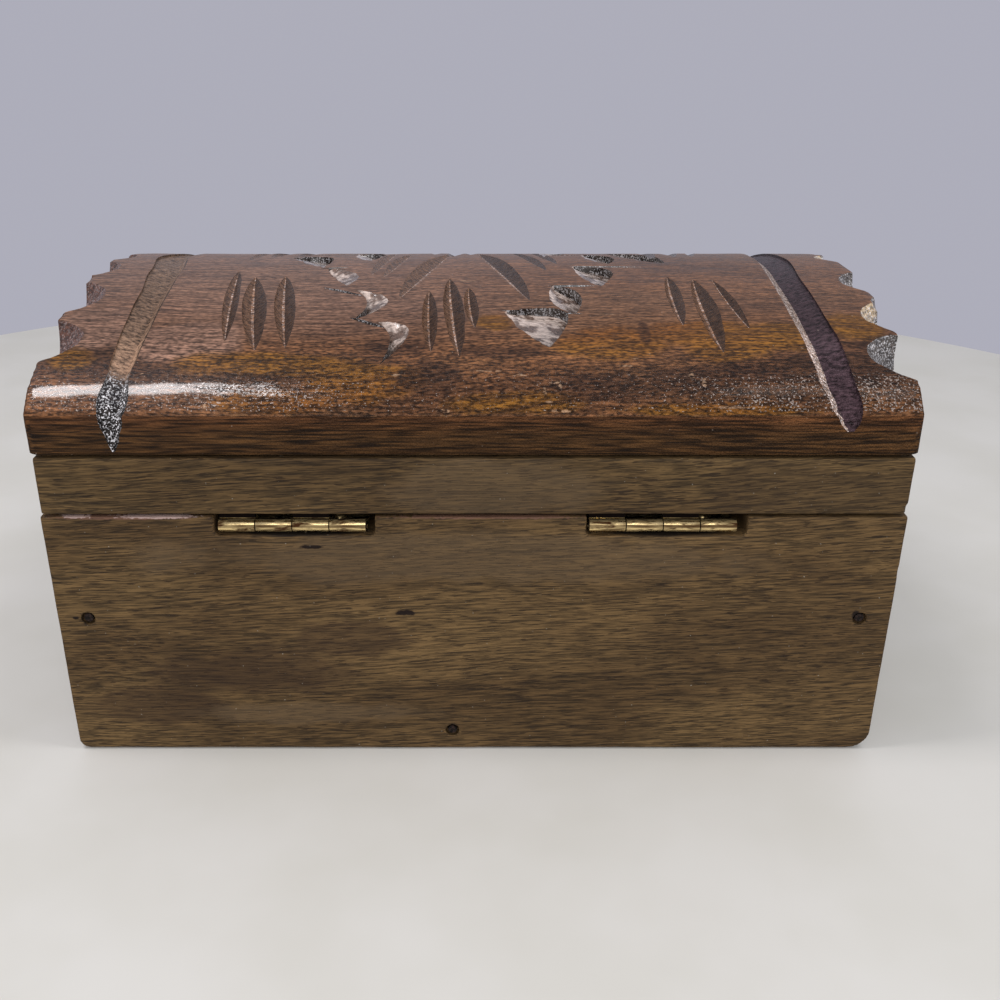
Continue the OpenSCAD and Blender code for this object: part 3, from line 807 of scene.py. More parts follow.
# Some tools come out inside out after all, which their signed volume shows
def turnOutward(piece):
    pickOnly(piece)
    bpy.ops.object.mode_set(mode="EDIT")
    bpy.ops.mesh.select_all(action="SELECT")
    bpy.ops.mesh.normals_make_consistent(inside=False)
    bpy.ops.object.mode_set(mode="OBJECT")
    if sum(face.center.dot(face.normal) * face.area for face in piece.data.polygons) < 0:
        bpy.ops.object.mode_set(mode="EDIT")
        bpy.ops.mesh.flip_normals()
        bpy.ops.object.mode_set(mode="OBJECT")


def flatPlace(x, y):
    return Vector((x * mm, runTo(y * mm), 0))


# How light each face of a cut is, as painted light and shade: a gouge lighter on its +X wall and darker on
# the other, with a painted highlight on the keel; a stop cut in painted shadow; a strap's facet and rim by
# side, and over 2 for a facet with painted glints; a chip's wall in painted shadow, its floor lit at the
# first horn
gougeShading = {"left": 1.1, "right": 0.36, "keel": 1.9}
facetShading = {1: (1.4, 0.35), -1: (2.5, 2.5)}
chipShading = {"wall": 0.05, "first": 1.2, "last": 0.45}
stopShading = {"left": 0.3, "right": 0.06, "keel": 0.9}
stopCut = {"width": 1.0, "depth": 0.9, "rough": False, "shading": stopShading}
# How the cuts are shaped: slices, hollows, lips in mm, and where one face turns into the next
gougeForm = {"keel": 0.25, "middleKeel": 0.2, "slim": 0.8, "hollow": 1.6, "keelFace": 0.93}
strapForm = {"slices": 120, "lip": 0.12, "keelFace": 0.15, "rim": 0.4}
chipForm = {"slices": 12, "wallFace": 0.9, "horn": 0.02, "hornDepth": 0.5, "lip": 0.06}
# How deep and how wide the tools' own unevenness is
unevenness = {
    "gouge": (0.16 * mm, 4 * mm), "strap": (0.22 * mm, 5 * mm), "chip": (0.4 * mm, 2.8 * mm),
    "cup": (mm, 4.5 * mm), "scoop": (0.8 * mm, 4 * mm), "nick": (0.6 * mm, 3 * mm),
}


# A willow leaf gouge between two places in mm: a ball drawn out to points, with a keel under it
def addGouge(start, end, width, depth, keel=0.0, rough=True, shading=gougeShading):
    form = gougeForm
    first, last = flatPlace(*start), flatPlace(*end)
    half = (last - first) / 2
    sideways = Vector((half.y, -half.x, 0)).normalized()
    tool = addBall("gouge", 1, segments=24, rings=40)
    lit = math.copysign(1, sideways.x)

    # Painted light and shade: the wall on the +X side lighter, the other wall darker, and a painted highlight
    # along the keel
    def shadeAt(spot):
        if spot.y < -form["keelFace"] * math.hypot(spot.x, spot.y):
            return shading["keel"]
        return shading["left"] if spot.x * lit > 0 else shading["right"]

    markFaces(tool, "cutShade", shadeAt)
    for corner in tool.data.vertices:
        a, b, c = corner.co
        ring = math.hypot(a, b) or 1
        u, v = a / ring, b / ring
        slim = max(0, 1 - c * c) ** form["slim"]
        across = math.copysign(abs(u) ** form["hollow"], u) + keel * max(0, -v)
        above = math.copysign(abs(v) ** form["hollow"], v)
        place = first + half * (1 + c) + sideways * across * slim * width / 2 * mm
        corner.co = (place.x, place.y, above * slim * depth * mm)
    if rough:
        roughen(tool, *unevenness["gouge"])
    return tool


def between(stops, t):
    for (a, *first), (b, *last) in zip(stops, stops[1:]):
        if t <= b:
            share = max(0, (t - a) / (b - a))
            share = share * share * (3 - 2 * share)
            return [p + (q - p) * share for p, q in zip(first, last)]
    return stops[-1][1:]


# A strap's groove. Its stops are y, outer edge, keel, inner edge, and depth at the outer edge and the keel
def addStrap(side, stops):
    form = strapForm
    tool = addSliced("strap", form["slices"])
    pickEdges(tool, lambda a, b: abs(a.x - b.x) > 1, both=True)
    bpy.ops.mesh.subdivide(number_cuts=1)
    bpy.ops.object.mode_set(mode="OBJECT")
    first, last = runTo(stops[0][0] * mm), runTo(stops[-1][0] * mm)
    for corner in tool.data.vertices:
        a, b, c = corner.co
        run = first + (last - first) * (b + 1) / 2
        outer, keel, inner, shallow, deep = between([(runTo(y * mm), *rest) for y, *rest in stops], run)
        across, low = ((outer, shallow), (keel, deep), (inner, form["lip"]))[round(a) + 1]
        corner.co = (side * across * mm, run, -low * mm if c < 0 else lidTop["clear"])
    shapeWith(tool, "SUBSURF", levels=2, render_levels=2, subdivision_type="SIMPLE")
    byRun = [(runTo(y * mm), keel, inner) for y, _, keel, inner, *rest in stops]
    facet, rim = facetShading[side]

    # Painted shading: the facet between keel and inner rim lightened as a painted highlight, and on the left
    # strap a painted shadow line along the inner rim
    def shadeAt(spot):
        keel, inner = between(byRun, spot.y)
        if abs(spot.x) > (keel - form["keelFace"]) * mm:
            return 1
        return facet if abs(spot.x) > (inner + form["rim"]) * mm else rim

    markFaces(tool, "cutShade", shadeAt)
    roughen(tool, *unevenness["strap"])
    return tool


def arcThrough(a, b, c, t):
    return [
        p * (1 - t) * (1 - 2 * t) + q * 4 * t * (1 - t) + r * t * (2 * t - 1) for p, q, r in zip(a, b, c)
    ]


# A chip levered out against a wall: horn, wall, horn, and where its floor comes up again
def addChip(horn, wall, otherHorn, fade, depth):
    form = chipForm
    tool = addSliced("chip", form["slices"])
    # Painted light and shade: the chip's wall in painted shadow, its floor lit at the first horn and shaded
    # towards the other
    floorTone, darkening = chipShading["first"], (chipShading["last"] - chipShading["first"]) / 2
    markFaces(
        tool, "cutShade",
        lambda spot: chipShading["wall"] if spot.x > form["wallFace"] else floorTone + darkening * (spot.y + 1),
    )
    flat = [flatPlace(*place) for place in (horn, wall, otherHorn, fade)]
    for corner in tool.data.vertices:
        a, b, c = corner.co
        t = form["horn"] + (1 - 2 * form["horn"]) * (b + 1) / 2
        bow = 4 * t * (1 - t)
        middle = flat[1] if a > 0 else flat[3]
        x, run, _ = arcThrough(flat[0], middle, flat[2], t)
        low = -depth * (form["hornDepth"] + (1 - form["hornDepth"]) * bow) if a > 0 else form["lip"]
        corner.co = (x, run, low * mm if c < 0 else lidTop["clear"])
    shapeWith(tool, "SUBSURF", levels=2, render_levels=2, subdivision_type="SIMPLE")
    roughen(tool, *unevenness["chip"])
    return tool


# start, end, width and depth of the gouges in mm
gougeList = [
    ((45.8, 4.7), (42.9, 35.8), 2.9, 1), ((41.9, 9), (37.4, 38), 4.6, 1.5), ((36.2, 8.1), (32.3, 37), 4, 1.4),
    ((8.3, 16.4), (7.3, 38.4), 2.9, 1.1), ((4.6, 10), (2.4, 39.9), 3.8, 1.4),
    ((1, 14.9), (-0.2, 31.2), 2.7, 1),
    ((-37.2, 8.3), (-36.9, 30.4), 3.1, 1.1), ((-41.8, 10.3), (-42.6, 38.3), 4.1, 1.4),
    ((-45.4, 10.5), (-48.5, 31.6), 2.2, 0.9),
]
middleGouges = [
    ((19.9, 8), (16.8, -18), 2.4, 0.9), ((17.5, 9.6), (13.4, -16), 2.5, 0.9),
    ((13.9, 20.5), (5, -16.5), 4, 1.4), ((-1, -17.5), (-10.2, 21), 4.3, 1.5),
    ((-8.4, -21), (-14.2, 4.6), 2.6, 0.9), ((-12.6, -22), (-16.6, -0.8), 2.4, 0.9),
]
chipList = [
    ((22.1, 16), (19.5, 22.1), (21.5, 28.4), (15.3, 20.9), 1.7),
    ((17.1, 29), (14.6, 34.5), (16.1, 41.6), (11.2, 31.8), 2.3),
    ((-14.7, 13.6), (-19.5, 18), (-18.3, 26.3), (-13.8, 21.7), 2.2),
    ((-5.2, 25.3), (-16.3, 25.3), (-13, 37), (-7.8, 32.6), 2),
]
middleChips = [
    ((28.8, 2.2), (27.3, 8), (23.9, 14), (21.9, 7), 1.6),
    ((-19.3, 1.4), (-26.7, 4.3), (-23.9, 14.4), (-20.3, 10.1), 1.7),
    ((37.8, -8.7), (29.5, -9.2), (29.8, 2.3), (34.6, -1.8), 1.5),
    ((-28, -17.7), (-36.5, -12.2), (-38.2, -1.5), (-31.3, -7.1), 1.5),
    ((-23, -15.6), (-28.5, -9.1), (-26.8, -1.1), (-22.3, -7.7), 1.5),
    ((24.4, -17), (18.8, -15.1), (20.9, -4.9), (24.7, -8.1), 1.5),
]
stopCuts = [
    ((28.5, 14.8), (20.3, 18.9)), ((22.3, 27.4), (15.4, 31)), ((-4.6, 24.9), (-19.7, 26.1)),
    ((-13.7, 14), (-22.9, 14)),
]
middleCuts = [
    ((-18.7, 1), (-34.4, 1.6)), ((38.3, -10.6), (24, -17.7)), ((30.4, 2.7), (24.5, 1.8)),
]

# y, outer edge, keel, inner edge, depth at the outer edge, depth at the keel
leftStrap = [
    (-55, 60.6, 60, 59.4, 0.1, 0.2), (-50.5, 62.2, 59.4, 58.2, 0.4, 1.2), (-40, 62.4, 59, 57.6, 0.5, 1.4),
    (-24, 63.4, 59.4, 57.8, 0.5, 1.4), (-11.6, 65.6, 61, 59.1, 0.5, 1.5), (4.7, 63.4, 58.6, 57.1, 0.5, 1.5),
    (17.4, 61.9, 58.4, 56.6, 0.5, 1.5), (29.2, 61.6, 58.4, 56.6, 0.5, 1.6), (39.2, 61.4, 58.6, 57, 0.6, 1.6),
    (43.3, 61.2, 58.7, 57.4, 0.7, 1.7), (47.9, 62.1, 58.9, 56.9, 0.9, 1.9), (51.2, 61.6, 59.3, 57.6, 1, 1.6),
    (53.6, 60.7, 59.5, 58.5, 0.6, 1), (56.6, 59.9, 59.7, 59.5, 0.1, 0.15),
]
rightStrap = [
    (-53.4, 62.6, 61.6, 61, 0.1, 0.2), (-50.5, 63.8, 60.6, 59.4, 0.4, 1), (-40, 63.2, 59.4, 57.6, 0.5, 1.4),
    (-22, 63.8, 60, 58.2, 0.5, 1.5), (-7.7, 64.1, 59.5, 57.6, 0.5, 1.5), (12.4, 62.4, 58.5, 56.4, 0.5, 1.6),
    (25.3, 62.5, 58.6, 56.4, 0.5, 1.6), (36.8, 63.2, 59, 57, 0.6, 1.6), (44.3, 63.2, 59.1, 57.4, 0.7, 1.5),
    (48.7, 63.8, 60, 58.6, 0.8, 1.3), (51, 63.4, 60.9, 60, 0.7, 0.9), (52.6, 62.4, 61.7, 61.4, 0.1, 0.2),
]

# y of the cups along an end, how far each bites in and its radius, in mm
leftCups = [
    (-42, 4.6, 8), (-25, 4.8, 8), (-11.6, 3.6, 7), (2.3, 4, 7.6), (19.7, 5.8, 8.2), (35.6, 6, 6.8),
]
rightCups = [
    (-41, 4.8, 8), (-24, 4.4, 8), (-8.7, 3.4, 7), (12.1, 4.2, 7.6), (27.8, 4.6, 6.6), (39.8, 6.6, 6.4),
]
cupLean = {"slope": math.radians(48), "swing": math.radians(16), "length": 30 * mm}
# x, y, z and radius of the scoops at the corners and of small chips knocked off the ends
cornerScoops = [
    (80.2, 52, 72.8, 8), (-80.6, 52.6, 72.4, 8), (79.5, -50, 73, 8.5), (-79.5, -51, 72, 8),
    (-75.6, 48.2, 70.4, 2.4), (76, 44, 73.4, 3), (-76.4, 22, 79.6, 4.2),
]


def makeLidTop():
    form, lid = domeForm, lidTop
    top, edge = form["edgeHigh"], lid["under"]
    bpy.ops.mesh.primitive_plane_add(
        size=1, location=(0, form["edgeOut"], (top + edge) / 2), rotation=(math.radians(90), 0, 0)
    )
    bpy.context.object.scale = (2 * lid["halfWidth"], top - edge, 1)
    piece = settled("carvedTop")
    # the back edge is spun up over the shoulder, the crown and the other shoulder
    pickEdges(piece, lambda place: place.z > top - mm)
    for steps, arc, middle in (
        (lid["shoulderSteps"], form["shoulderArc"], (0, form["shoulderOut"], form["shoulderHigh"])),
        (lid["crownSteps"], 2 * form["crownArc"], (0, 0, form["crownHigh"])),
        (lid["shoulderSteps"], form["shoulderArc"], (0, -form["shoulderOut"], form["shoulderHigh"])),
    ):
        bpy.ops.mesh.spin(steps=steps, angle=-arc, center=middle, axis=(1, 0, 0), use_auto_merge=False)
    bpy.ops.mesh.extrude_region_move(TRANSFORM_OT_translate={"value": (0, 0, edge - top)})
    bpy.ops.object.mode_set(mode="OBJECT")
    pickEdges(piece, lambda place: place.z < edge + 0.01 * mm)
    bpy.ops.mesh.bridge_edge_loops()
    bpy.ops.mesh.select_all(action="SELECT")
    bpy.ops.mesh.fill_holes(sides=0)
    bpy.ops.mesh.select_all(action="SELECT")
    bpy.ops.mesh.remove_doubles(threshold=0.00001)
    bpy.ops.mesh.normals_make_consistent(inside=False)
    bpy.ops.object.mode_set(mode="OBJECT")
    return piece


def addCup(side, y, bite, radius):
    lean, radius = side * cupLean["slope"], radius * mm
    high = domePoint(runTo(y * mm), 0)[1]
    tool = addRod("cup", radius, cupLean["length"], (0, 0, 0), (0, math.pi / 2 + lean, 0), 48)
    shapeWith(tool, "SUBSURF", levels=2, render_levels=2, subdivision_type="SIMPLE")
    roughen(tool, *unevenness["cup"])
    tool.data.transform(Matrix.Rotation(-side * cupLean["swing"], 4, "Z"))
    across = side * (lidTop["halfWidth"] - bite * mm) + radius * math.sin(lean)
    tool.data.transform(Matrix.Translation((across, y * mm, high + radius * math.cos(lean))))
    return tool


# The cuts near the back edge are also made at the front, turned over
def carve(piece):
    tools = {kind: [] for kind in cutKinds}
    for sign in (1, -1):
        for *ends, width, depth in gougeList:
            ends = [(x, sign * y) for x, y in ends]
            tools["gouge"].append(addGouge(*ends, width, depth, sign * gougeForm["keel"]))
        for *places, depth in chipList:
            tools["chip"].append(addChip(*[(x, sign * y) for x, y in places], depth))
        for ends in stopCuts:
            tools["chip"].append(addGouge(*[(x, sign * y) for x, y in ends], **stopCut))
    tools["gouge"] += [addGouge(*item, gougeForm["middleKeel"]) for item in middleGouges]
    tools["chip"] += [addChip(*item) for item in middleChips]
    tools["chip"] += [addGouge(*item, **stopCut) for item in middleCuts]
    tools["strap"] += [addStrap(1, leftStrap), addStrap(-1, rightStrap)]
    for tool in tools["gouge"] + tools["chip"] + tools["strap"]:
        layOnDome(tool)
    for side, cups in ((1, leftCups), (-1, rightCups)):
        tools["cup"] += [addCup(side, *cup) for cup in cups]
    for x, y, z, radius in cornerScoops:
        scoop = addBall("scoop", radius * mm, (x * mm, y * mm, z * mm))
        roughen(scoop, *unevenness["scoop"])
        tools["cup"].append(scoop)
    markFaces(piece, "cutKind", 0)
    markFaces(piece, "cutShade", 1)
    for kind in ("gouge", "strap", "chip", "cup"):
        for tool in tools[kind]:
            markFaces(tool, "cutKind", cutKinds[kind])
            if "cutShade" not in tool.data.attributes:
                markFaces(tool, "cutShade", 1)
            combine(piece, tool)


carvedTop = makeLidTop()
handWork(carvedTop, lidTop["voxel"], lidTop["triangles"], lidTop["waver"], lidTop["waverSize"])
carve(carvedTop)
shapeWith(carvedTop, "TRIANGULATE")
finish(carvedTop, "lid", ["lid_top"], domeWood, 38)


# Walls and rails: blocks in the CAD's own places, with rounded lower corners, nicks and worn faces
boards = {
    "end": 73.9 * mm, "rounding": {-1: 4 * mm, 1: 2 * mm}, "waver": 0.2 * mm, "waverSize": 0.012,
}
# The voxel and the most triangles of each board
boardMesh = {
    "back_panel": (0.36 * mm, 90000), "front_panel": (0.42 * mm, 60000), "bottom_panel": (0.6 * mm, 30000),
    "left_end_panel": (0.42 * mm, 40000), "right_end_panel": (0.42 * mm, 40000),
    "lid_back_rail": (0.36 * mm, 50000), "lid_front_rail": (0.42 * mm, 40000),
    "lid_left_rail": (0.42 * mm, 30000), "lid_right_rail": (0.42 * mm, 30000),
}
hinges = {
    "left": -32.4 * mm, "right": 31.2 * mm, "y": 48.5 * mm, "z": 45.8 * mm, "barrel": 1.15 * mm,
    "bore": 0.6 * mm, "knuckle": 6.35 * mm, "gap": 0.2 * mm, "reach": 8 * mm,
    "screwAcross": 7.7 * mm, "screwIn": 4.575 * mm,
}
mortise = {
    "left": 14.2 * mm, "right": 13.1 * mm, "low": 44.55 * mm, "high": 50 * mm, "in": 38 * mm,
    "out": 52 * mm, "chewed": 49 * mm, "chewing": 0.25,
}
bradPlaces = [(68.5, 28), (-68.5, 28), (4, 4)]
endBradHeight = 4 * mm
pitForm = {"radius": 1.5 * mm, "deep": 2.4 * mm, "foot": 0.8 * mm, "out": 49.6 * mm, "endOut": 73.6 * mm}


def addBoard(name, node, cuts=()):
    low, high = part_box(node)
    piece = addBlock(name, low, high)
    for side, radius in boards["rounding"].items():
        end = side * boards["end"]
        if low[2] < mm and (high[0] > end if side > 0 else low[0] < end):
            pickEdges(piece, lambda place: place.z < mm and place.x * side > boards["end"])
            bpy.ops.mesh.bevel(offset=radius, segments=6, affect="EDGES")
            bpy.ops.object.mode_set(mode="OBJECT")
    for tool in cuts:
        combine(piece, tool)
    handWork(piece, *boardMesh[node], boards["waver"], boards["waverSize"])
    return piece


def nick(x, y, z, radius, stretch):
    tool = addBall("nick", radius * mm, segments=16, rings=12)
    tool.data.transform(Matrix.Diagonal((*stretch, 1)))
    tool.data.transform(Matrix.Translation((x * mm, y * mm, z * mm)))
    roughen(tool, *unevenness["nick"])
    return tool


def mortiseTools():
    tools = []
    for middle in (hinges["left"], hinges["right"]):
        low = (middle - mortise["left"], mortise["in"], mortise["low"])
        tool = addBlock("mortise", low, (middle + mortise["right"], mortise["out"], mortise["high"]))
        shapeWith(tool, "SUBSURF", levels=4, render_levels=4, subdivision_type="SIMPLE")
        for corner in tool.data.vertices:
            if corner.co.z < mortise["low"] + 0.05 * mm and corner.co.y > mortise["chewed"]:
                corner.co.z -= random.uniform(0, mortise["chewing"]) * mm
        tools.append(tool)
    return tools


def addPit(place, turn):
    return addRod("pit", pitForm["radius"], pitForm["deep"], place, turn, 12, pitForm["foot"])


def bradPits(side):
    turn = (-side * math.pi / 2, 0, 0)
    return [addPit((x * mm, side * pitForm["out"], z * mm), turn) for x, z in bradPlaces]


# x, y, z, radius and stretch of the nicks, in mm
backNicks = [
    (-74.9, 50, 37, 1.5, (0.7, 1, 1.6)), (74.7, 50, 34.7, 1.2, (0.6, 1, 1.4)),
    (74.8, 50, 23.6, 1.2, (0.7, 1, 1.2)), (17.4, 50.4, 48.2, 1.1, (1.5, 1, 0.7)),
    (-18.6, 50.4, 48.3, 0.9, (1.3, 1, 0.7)), (46, 50.5, 48.4, 1, (1.6, 1, 0.6)),
    (-46.8, 50.5, 48.2, 1, (1.2, 1, 0.8)), (11.9, 50.35, 29.2, 0.7, (2.2, 0.8, 0.9)),
    (-74.6, 50.4, 20, 0.9, (1, 1, 3)),
]
railNicks = [
    (-74.2, 50.3, 49.2, 1.5, (0.8, 1, 1.2)), (-73.9, 50.6, 55, 0.9, (0.8, 0.9, 3)),
    (73.9, 50.6, 52, 0.9, (0.8, 0.9, 2.6)),
]


# Painted shadow spots at both mortises, in the same place by each
def byHinges(y, z, reach, ragged):
    return [((middle, y, z), reach, ragged, 300) for middle in (30.7, -32.9)]


backMarks = [
    ((12.1, 50, 29.2), (2.0, 2, 0.7), 1.4, 700), ((28.2, 50, 42.3), (2.4, 2, 0.45), 1.2, 700),
    ((68.9, 50, 28), (1.0, 2, 1.7), 1.2, 700), ((-67.8, 50, 28.6), (1.0, 2, 1.4), 1.2, 700),
    ((3.9, 50, 4.4), (0.7, 2, 1.5), 1.2, 700), ((70.6, 50, 28.2), (0.8, 2, 0.4), 1.2, 700),
]
# colour, strength and places of the stains, of the painted shadow in and round the mortises, and of a painted
# highlight along the top edge
backStainsAndShading = [
    ((0.040, 0.021, 0.011), 0.55, [
        ((40, 50, 17), (24, 3, 7), 1.5, 70), ((58, 50, 10), (16, 3, 5), 1.5, 70),
        ((20, 50, 24), (13, 3, 5), 1.4, 90),
    ]),
    ((0.13, 0.086, 0.048), 0.45, [((0, 50, 40), (60, 3, 6), 1.6, 50), ((30, 50, 8), (26, 3, 3), 1.4, 70)]),
    # Painted shadow: near black in and round the mortises, about the barrels
    ((0.006, 0.004, 0.003), 0.96,
     byHinges(44.5, 46.6, (14.6, 5.4, 2.6), 0.15) + byHinges(47, 44.6, (15.2, 4.6, 0.75), 0.1)),
    ((0.17, 0.085, 0.060), 0.7, [
        ((60, 50, 47.9), (15, 3, 0.55), 1.2, 900), ((-2, 50, 47.9), (19, 3, 0.4), 1.6, 900),
    ]),
    # Painted highlight: a pale pink line along the top edge of the back, under the seam
    ((0.50, 0.36, 0.33), 0.75, [
        ((54, 50, 47.95), (8, 3, 0.35), 1.8, 1500), ((68, 50, 47.95), (3, 3, 0.3), 2.2, 1500),
    ]),
]
railStainsAndShading = [
    ((0.13, 0.086, 0.048), 0.42, [((-4, 50, 53), (24, 3, 6), 1.6, 50)]),
    ((0.040, 0.023, 0.012), 0.42, [((-56, 50, 53), (22, 3, 6), 1.5, 60)]),
    # Painted shadow: near black round the mortises in the rail
    ((0.010, 0.006, 0.004), 0.94, byHinges(44.6, 48.2, (14.6, 5.3, 1.4), 0.15)),
]
backWood = makeBareWood("backWood", marks=backMarks, stainsAndShading=backStainsAndShading)
railWood = makeBareWood("railWood", tint=(0.92, 0.93, 0.93), offset=0.13, poreShare=0.42, stainsAndShading=railStainsAndShading)
endWood = makeBareWood("endWood", along="Y", tint=(0.8, 0.74, 0.7), offset=0.41)
floorWood = makeBareWood("floorWood", tint=(1.2, 1.15, 1.1), offset=0.57)

nickTools = joined([nick(*item) for item in backNicks], "nicks")
cuts = [joined(mortiseTools(), "mortises"), joined(bradPits(1), "pits"), nickTools]
finish(addBoard("backBoard", "back_panel", cuts), "base", ["back_panel"], backWood)
frontPanel = addBoard("frontBoard", "front_panel", [joined(bradPits(-1), "pits")])
finish(frontPanel, "base", ["front_panel"], frontWood)
for name, node, side in (("leftEnd", "left_end_panel", -1), ("rightEnd", "right_end_panel", 1)):
    pit = addPit((side * pitForm["endOut"], 0, endBradHeight), (0, side * math.pi / 2, 0))
    finish(addBoard(name, node, [pit]), "base", [node], endWood)
finish(addBoard("bottomBoard", "bottom_panel"), "base", ["bottom_panel"], floorWood)

cuts = [joined([nick(*item) for item in railNicks], "nicks")]
finish(addBoard("backRail", "lid_back_rail", cuts), "lid", ["lid_back_rail"], railWood)
finish(addBoard("frontRail", "lid_front_rail"), "lid", ["lid_front_rail"], frontWood)
for name, node in (("leftRail", "lid_left_rail"), ("rightRail", "lid_right_rail")):
    finish(addBoard(name, node), "lid", [node], endWood)
print("boards made")


# Hinges: leaves cut from sheet, with their knuckles rolled from it. low, edge and tab are from the pin
leafForm = {
    "base": {"low": -1.25 * mm, "edge": -1.35 * mm, "tab": (-1.5 * mm, -0.1 * mm), "slots": (0, 2)},
    "lid": {"low": 1.9 * mm, "edge": -0.55 * mm, "tab": (-1.15 * mm, -0.6 * mm), "slots": (1, 3)},
    "thick": 0.6 * mm, "inset": 0.02 * mm, "rounding": 0.09 * mm,
}
screwForm = {
    "head": 1.1 * mm, "tip": 0.77 * mm, "high": 0.6 * mm, "slot": (1.4 * mm, 0.14 * mm, 0.28 * mm),
    "shank": 0.5 * mm, "point": 0.12 * mm, "length": 6 * mm, "rounding": 0.12 * mm,
}
alongX = (0, math.pi / 2, 0)


def addKnuckle(left, right, y, z):
    place, length = ((left + right) / 2, y, z), right - left
    tube = addRod("knuckle", hinges["barrel"], length, place, alongX, 40)
    combine(tube, addRod("bore", hinges["bore"], length * 1.4, place, alongX, 24))
    return tube


def addLeaf(name, side, label):
    form, inset, knuckle = leafForm[label], leafForm["inset"], hinges["knuckle"]
    middle, y, z = hinges[side], hinges["y"], hinges["z"]
    left, right = middle - 2 * knuckle, middle + 2 * knuckle
    low, high = z + form["low"], z + form["low"] + leafForm["thick"]
    leaf = addBlock(name, (left, y - hinges["reach"], low), (right, y + form["edge"], high))
    foot = z if label == "lid" else low + inset
    for slot in form["slots"]:
        a = left + slot * knuckle + hinges["gap"] / 2
        b = a + knuckle - hinges["gap"]
        roll = addKnuckle(a, b, y, z)
        tab = addBlock("tab", (a, y + form["tab"][0], foot), (b, y + form["tab"][1], high - inset))
        combine(leaf, tab, "UNION")
        combine(leaf, roll, "UNION")
    softenEdges(leaf, leafForm["rounding"], 2, 40)
    shapeWith(leaf, "TRIANGULATE")
    return leaf


def addScrew(x, y, z, turn):
    form = screwForm
    head = addRod("screw", form["head"], form["high"], (0, 0, form["high"] / 2), sides=32, tip=form["tip"])
    softenEdges(head, form["rounding"], 3, 30)
    wide, narrow, low = form["slot"]
    slot = addBlock("slot", (-wide, -narrow, low), (wide, narrow, mm))
    slot.data.transform(Matrix.Rotation(random.uniform(0, math.pi), 4, "Z"))
    combine(head, slot)
    place = (0, 0, -form["length"] / 2)
    shank = addRod("shank", form["point"], form["length"], place, sides=16, tip=form["shank"])
    combine(head, shank, "UNION")
    head.data.transform(Matrix.Rotation(turn, 4, "X"))
    head.data.transform(Matrix.Translation((x, y, z)))
    return head


def addPin(name, node):
    low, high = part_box(node)
    place, length = ((low[0] + high[0]) / 2, hinges["y"], hinges["z"]), high[0] - low[0]
    pin = addRod(name, hinges["bore"] - 0.05 * mm, length, place, alongX, 24)
    softenEdges(pin, 0.18 * mm, 3, 40)
    return pin


for side in ("left", "right"):
    for label in ("base", "lid"):
        leaf = addLeaf(side + label.capitalize() + "Leaf", side, label)
        finish(leaf, label, [f"{side}_hinge_{label}_leaf"], brass, 35)
    finish(addPin(side + "Pin", side + "_hinge_pin"), "base", [side + "_hinge_pin"], steel, 35)
for label, height, turn in (("base", -0.65 * mm, 0), ("lid", 1.9 * mm, math.pi)):
    y, z = hinges["y"] - hinges["screwIn"], hinges["z"] + height
    parts = [
        addScrew(hinges[side] + across * hinges["screwAcross"], y, z, turn)
        for side in ("left", "right") for across in (-1, 1)
    ]
    finish(joined(parts, label + "Screws"), label, [f"hinge_{label}_screws"], screwBrass, 35)


bradForm = {
    "head": mm, "tip": 0.86 * mm, "high": mm, "shank": 0.7 * mm, "length": 19 * mm, "middle": -10.4 * mm,
    "rounding": 0.15 * mm, "rust": 0.12 * mm, "rustSize": 0.0008, "out": 49.5 * mm, "endOut": 73.5 * mm,
}


def addBrad(place, turn):
    form = bradForm
    head = addRod("brad", form["head"], form["high"], (0, 0, -form["high"] / 2), sides=20, tip=form["tip"])
    combine(head, addRod("shank", form["shank"], form["length"], (0, 0, form["middle"]), sides=12), "UNION")
    softenEdges(head, form["rounding"], 2, 40)
    roughen(head, form["rust"], form["rustSize"], 1.0)
    head.data.transform(Matrix.Rotation(turn[1], 4, turn[0]))
    head.data.transform(Matrix.Translation(place))
    return head


def bradRow(side):
    return [((x * mm, side * bradForm["out"], z * mm), ("X", -side * math.pi / 2)) for x, z in bradPlaces]


endRow = [
    ((side * bradForm["endOut"], 0, endBradHeight), ("Y", side * math.pi / 2)) for side in (-1, 1)
]
for name, node, places in (
    ("backBrads", "back_panel_brads", bradRow(1)), ("frontBrads", "front_panel_brads", bradRow(-1)),
    ("endBrads", "end_panel_brads", endRow),
):
    finish(joined([addBrad(*item) for item in places], name), "base", [node], steel, 35)


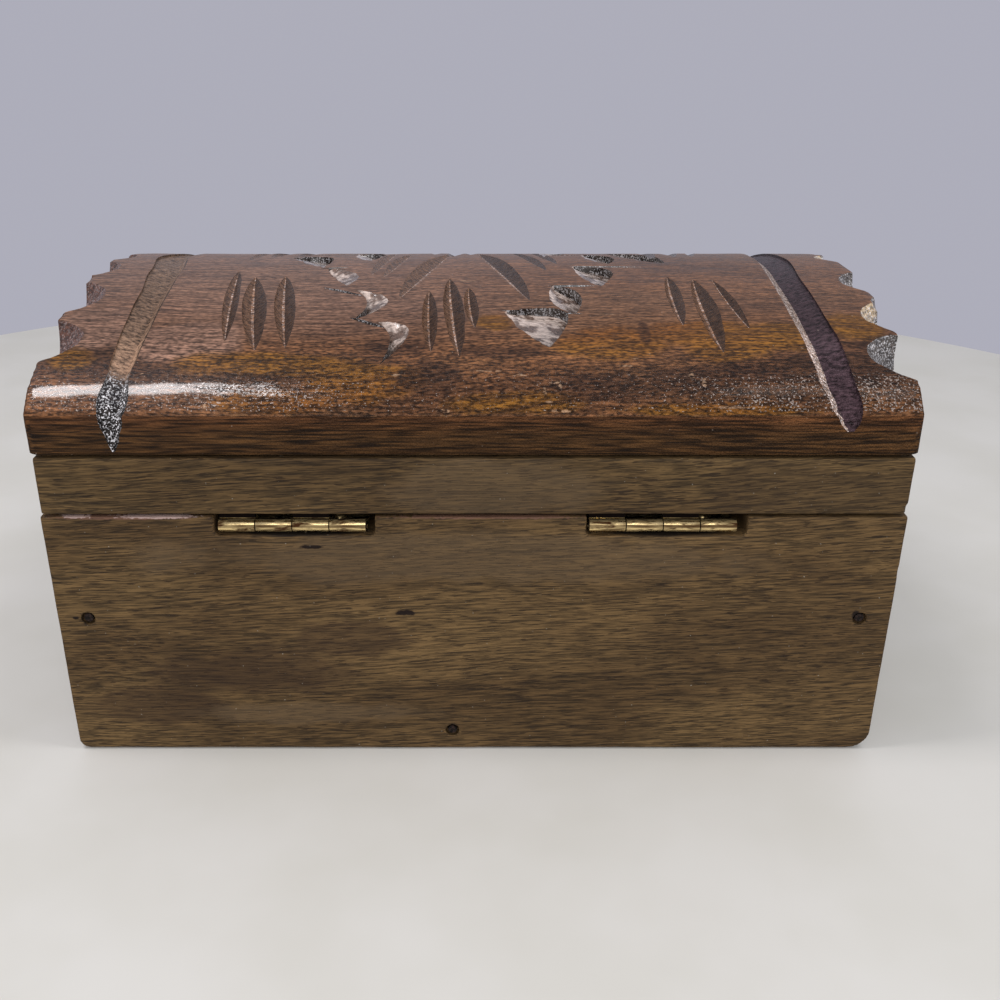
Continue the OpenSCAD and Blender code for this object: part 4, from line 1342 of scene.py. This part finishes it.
# Floor, light and surroundings
stage = {
    "wall": (0.42, 0.42, 0.49), "sky": (0.95, 0.97, 1.0), "ambient": 0.62, "radius": 0.3, "thick": 0.012,
    "middle": (0.01, -0.01, -0.0061), "rounding": 4 * mm, "floor": ((0.60, 0.58, 0.54), (0.64, 0.62, 0.59)),
    "floorRough": 0.45,
}
bpy.ops.mesh.primitive_cylinder_add(
    vertices=128, radius=stage["radius"], depth=stage["thick"], location=stage["middle"]
)
floorPlate = settled("floorPlate")
softenEdges(floorPlate, stage["rounding"], 3, 40)
floorMaterial, tree, shader, place = newMaterial("paleFloor")
mottled = spread(tree, noise(tree, place, 30, 3), 0.3, 0.7)
feed(tree, shader.inputs["Base Color"], blendColour(tree, mottled, *stage["floor"]))
shader.inputs["Roughness"].default_value = stage["floorRough"]
floorPlate.data.materials.append(floorMaterial)
pickOnly(floorPlate)
bpy.ops.object.shade_smooth_by_angle(angle=math.radians(35))

world = bpy.data.worlds.new("studio")
bpy.context.scene.world = world
world.use_nodes = True
tree = world.node_tree
plain = tree.nodes["Background"]
plain.inputs["Color"].default_value = (*stage["sky"], 1)
plain.inputs["Strength"].default_value = stage["ambient"]
seen = tree.nodes.new("ShaderNodeBackground")
seen.inputs["Color"].default_value = (*stage["wall"], 1)
path = tree.nodes.new("ShaderNodeLightPath").outputs
mix = tree.nodes.new("ShaderNodeMixShader")
direct = most(tree, path["Is Camera Ray"], path["Is Glossy Ray"], path["Is Transmission Ray"])
feed(tree, mix.inputs[0], direct)
tree.links.new(plain.outputs[0], mix.inputs[1])
tree.links.new(seen.outputs[0], mix.inputs[2])
tree.links.new(mix.outputs[0], tree.nodes["World Output"].inputs["Surface"])


def addLamp(name, place, target, size, power, colour=(1, 1, 1)):
    aim = (Vector(target) - Vector(place)).to_track_quat("-Z", "Y").to_euler()
    bpy.ops.object.light_add(type="AREA", location=place, rotation=aim)
    lamp = bpy.context.object
    lamp.name = name
    lamp.data.shape = "RECTANGLE"
    lamp.data.size, lamp.data.size_y = size
    lamp.data.energy = power
    lamp.data.color = colour


addLamp("windowBox", (0.25, 0.06, 0.64), (0.05, 0.03, 0.07), (0.12, 0.24), 1.35, (1, 0.97, 0.98))
addLamp("farBox", (-0.27, 0.09, 0.63), (-0.05, 0.03, 0.07), (0.12, 0.2), 0.8)
addLamp("frontFill", (0.0, 0.75, 0.45), (0, 0.05, 0.04), (0.6, 0.4), 2.6)
print("stage set")
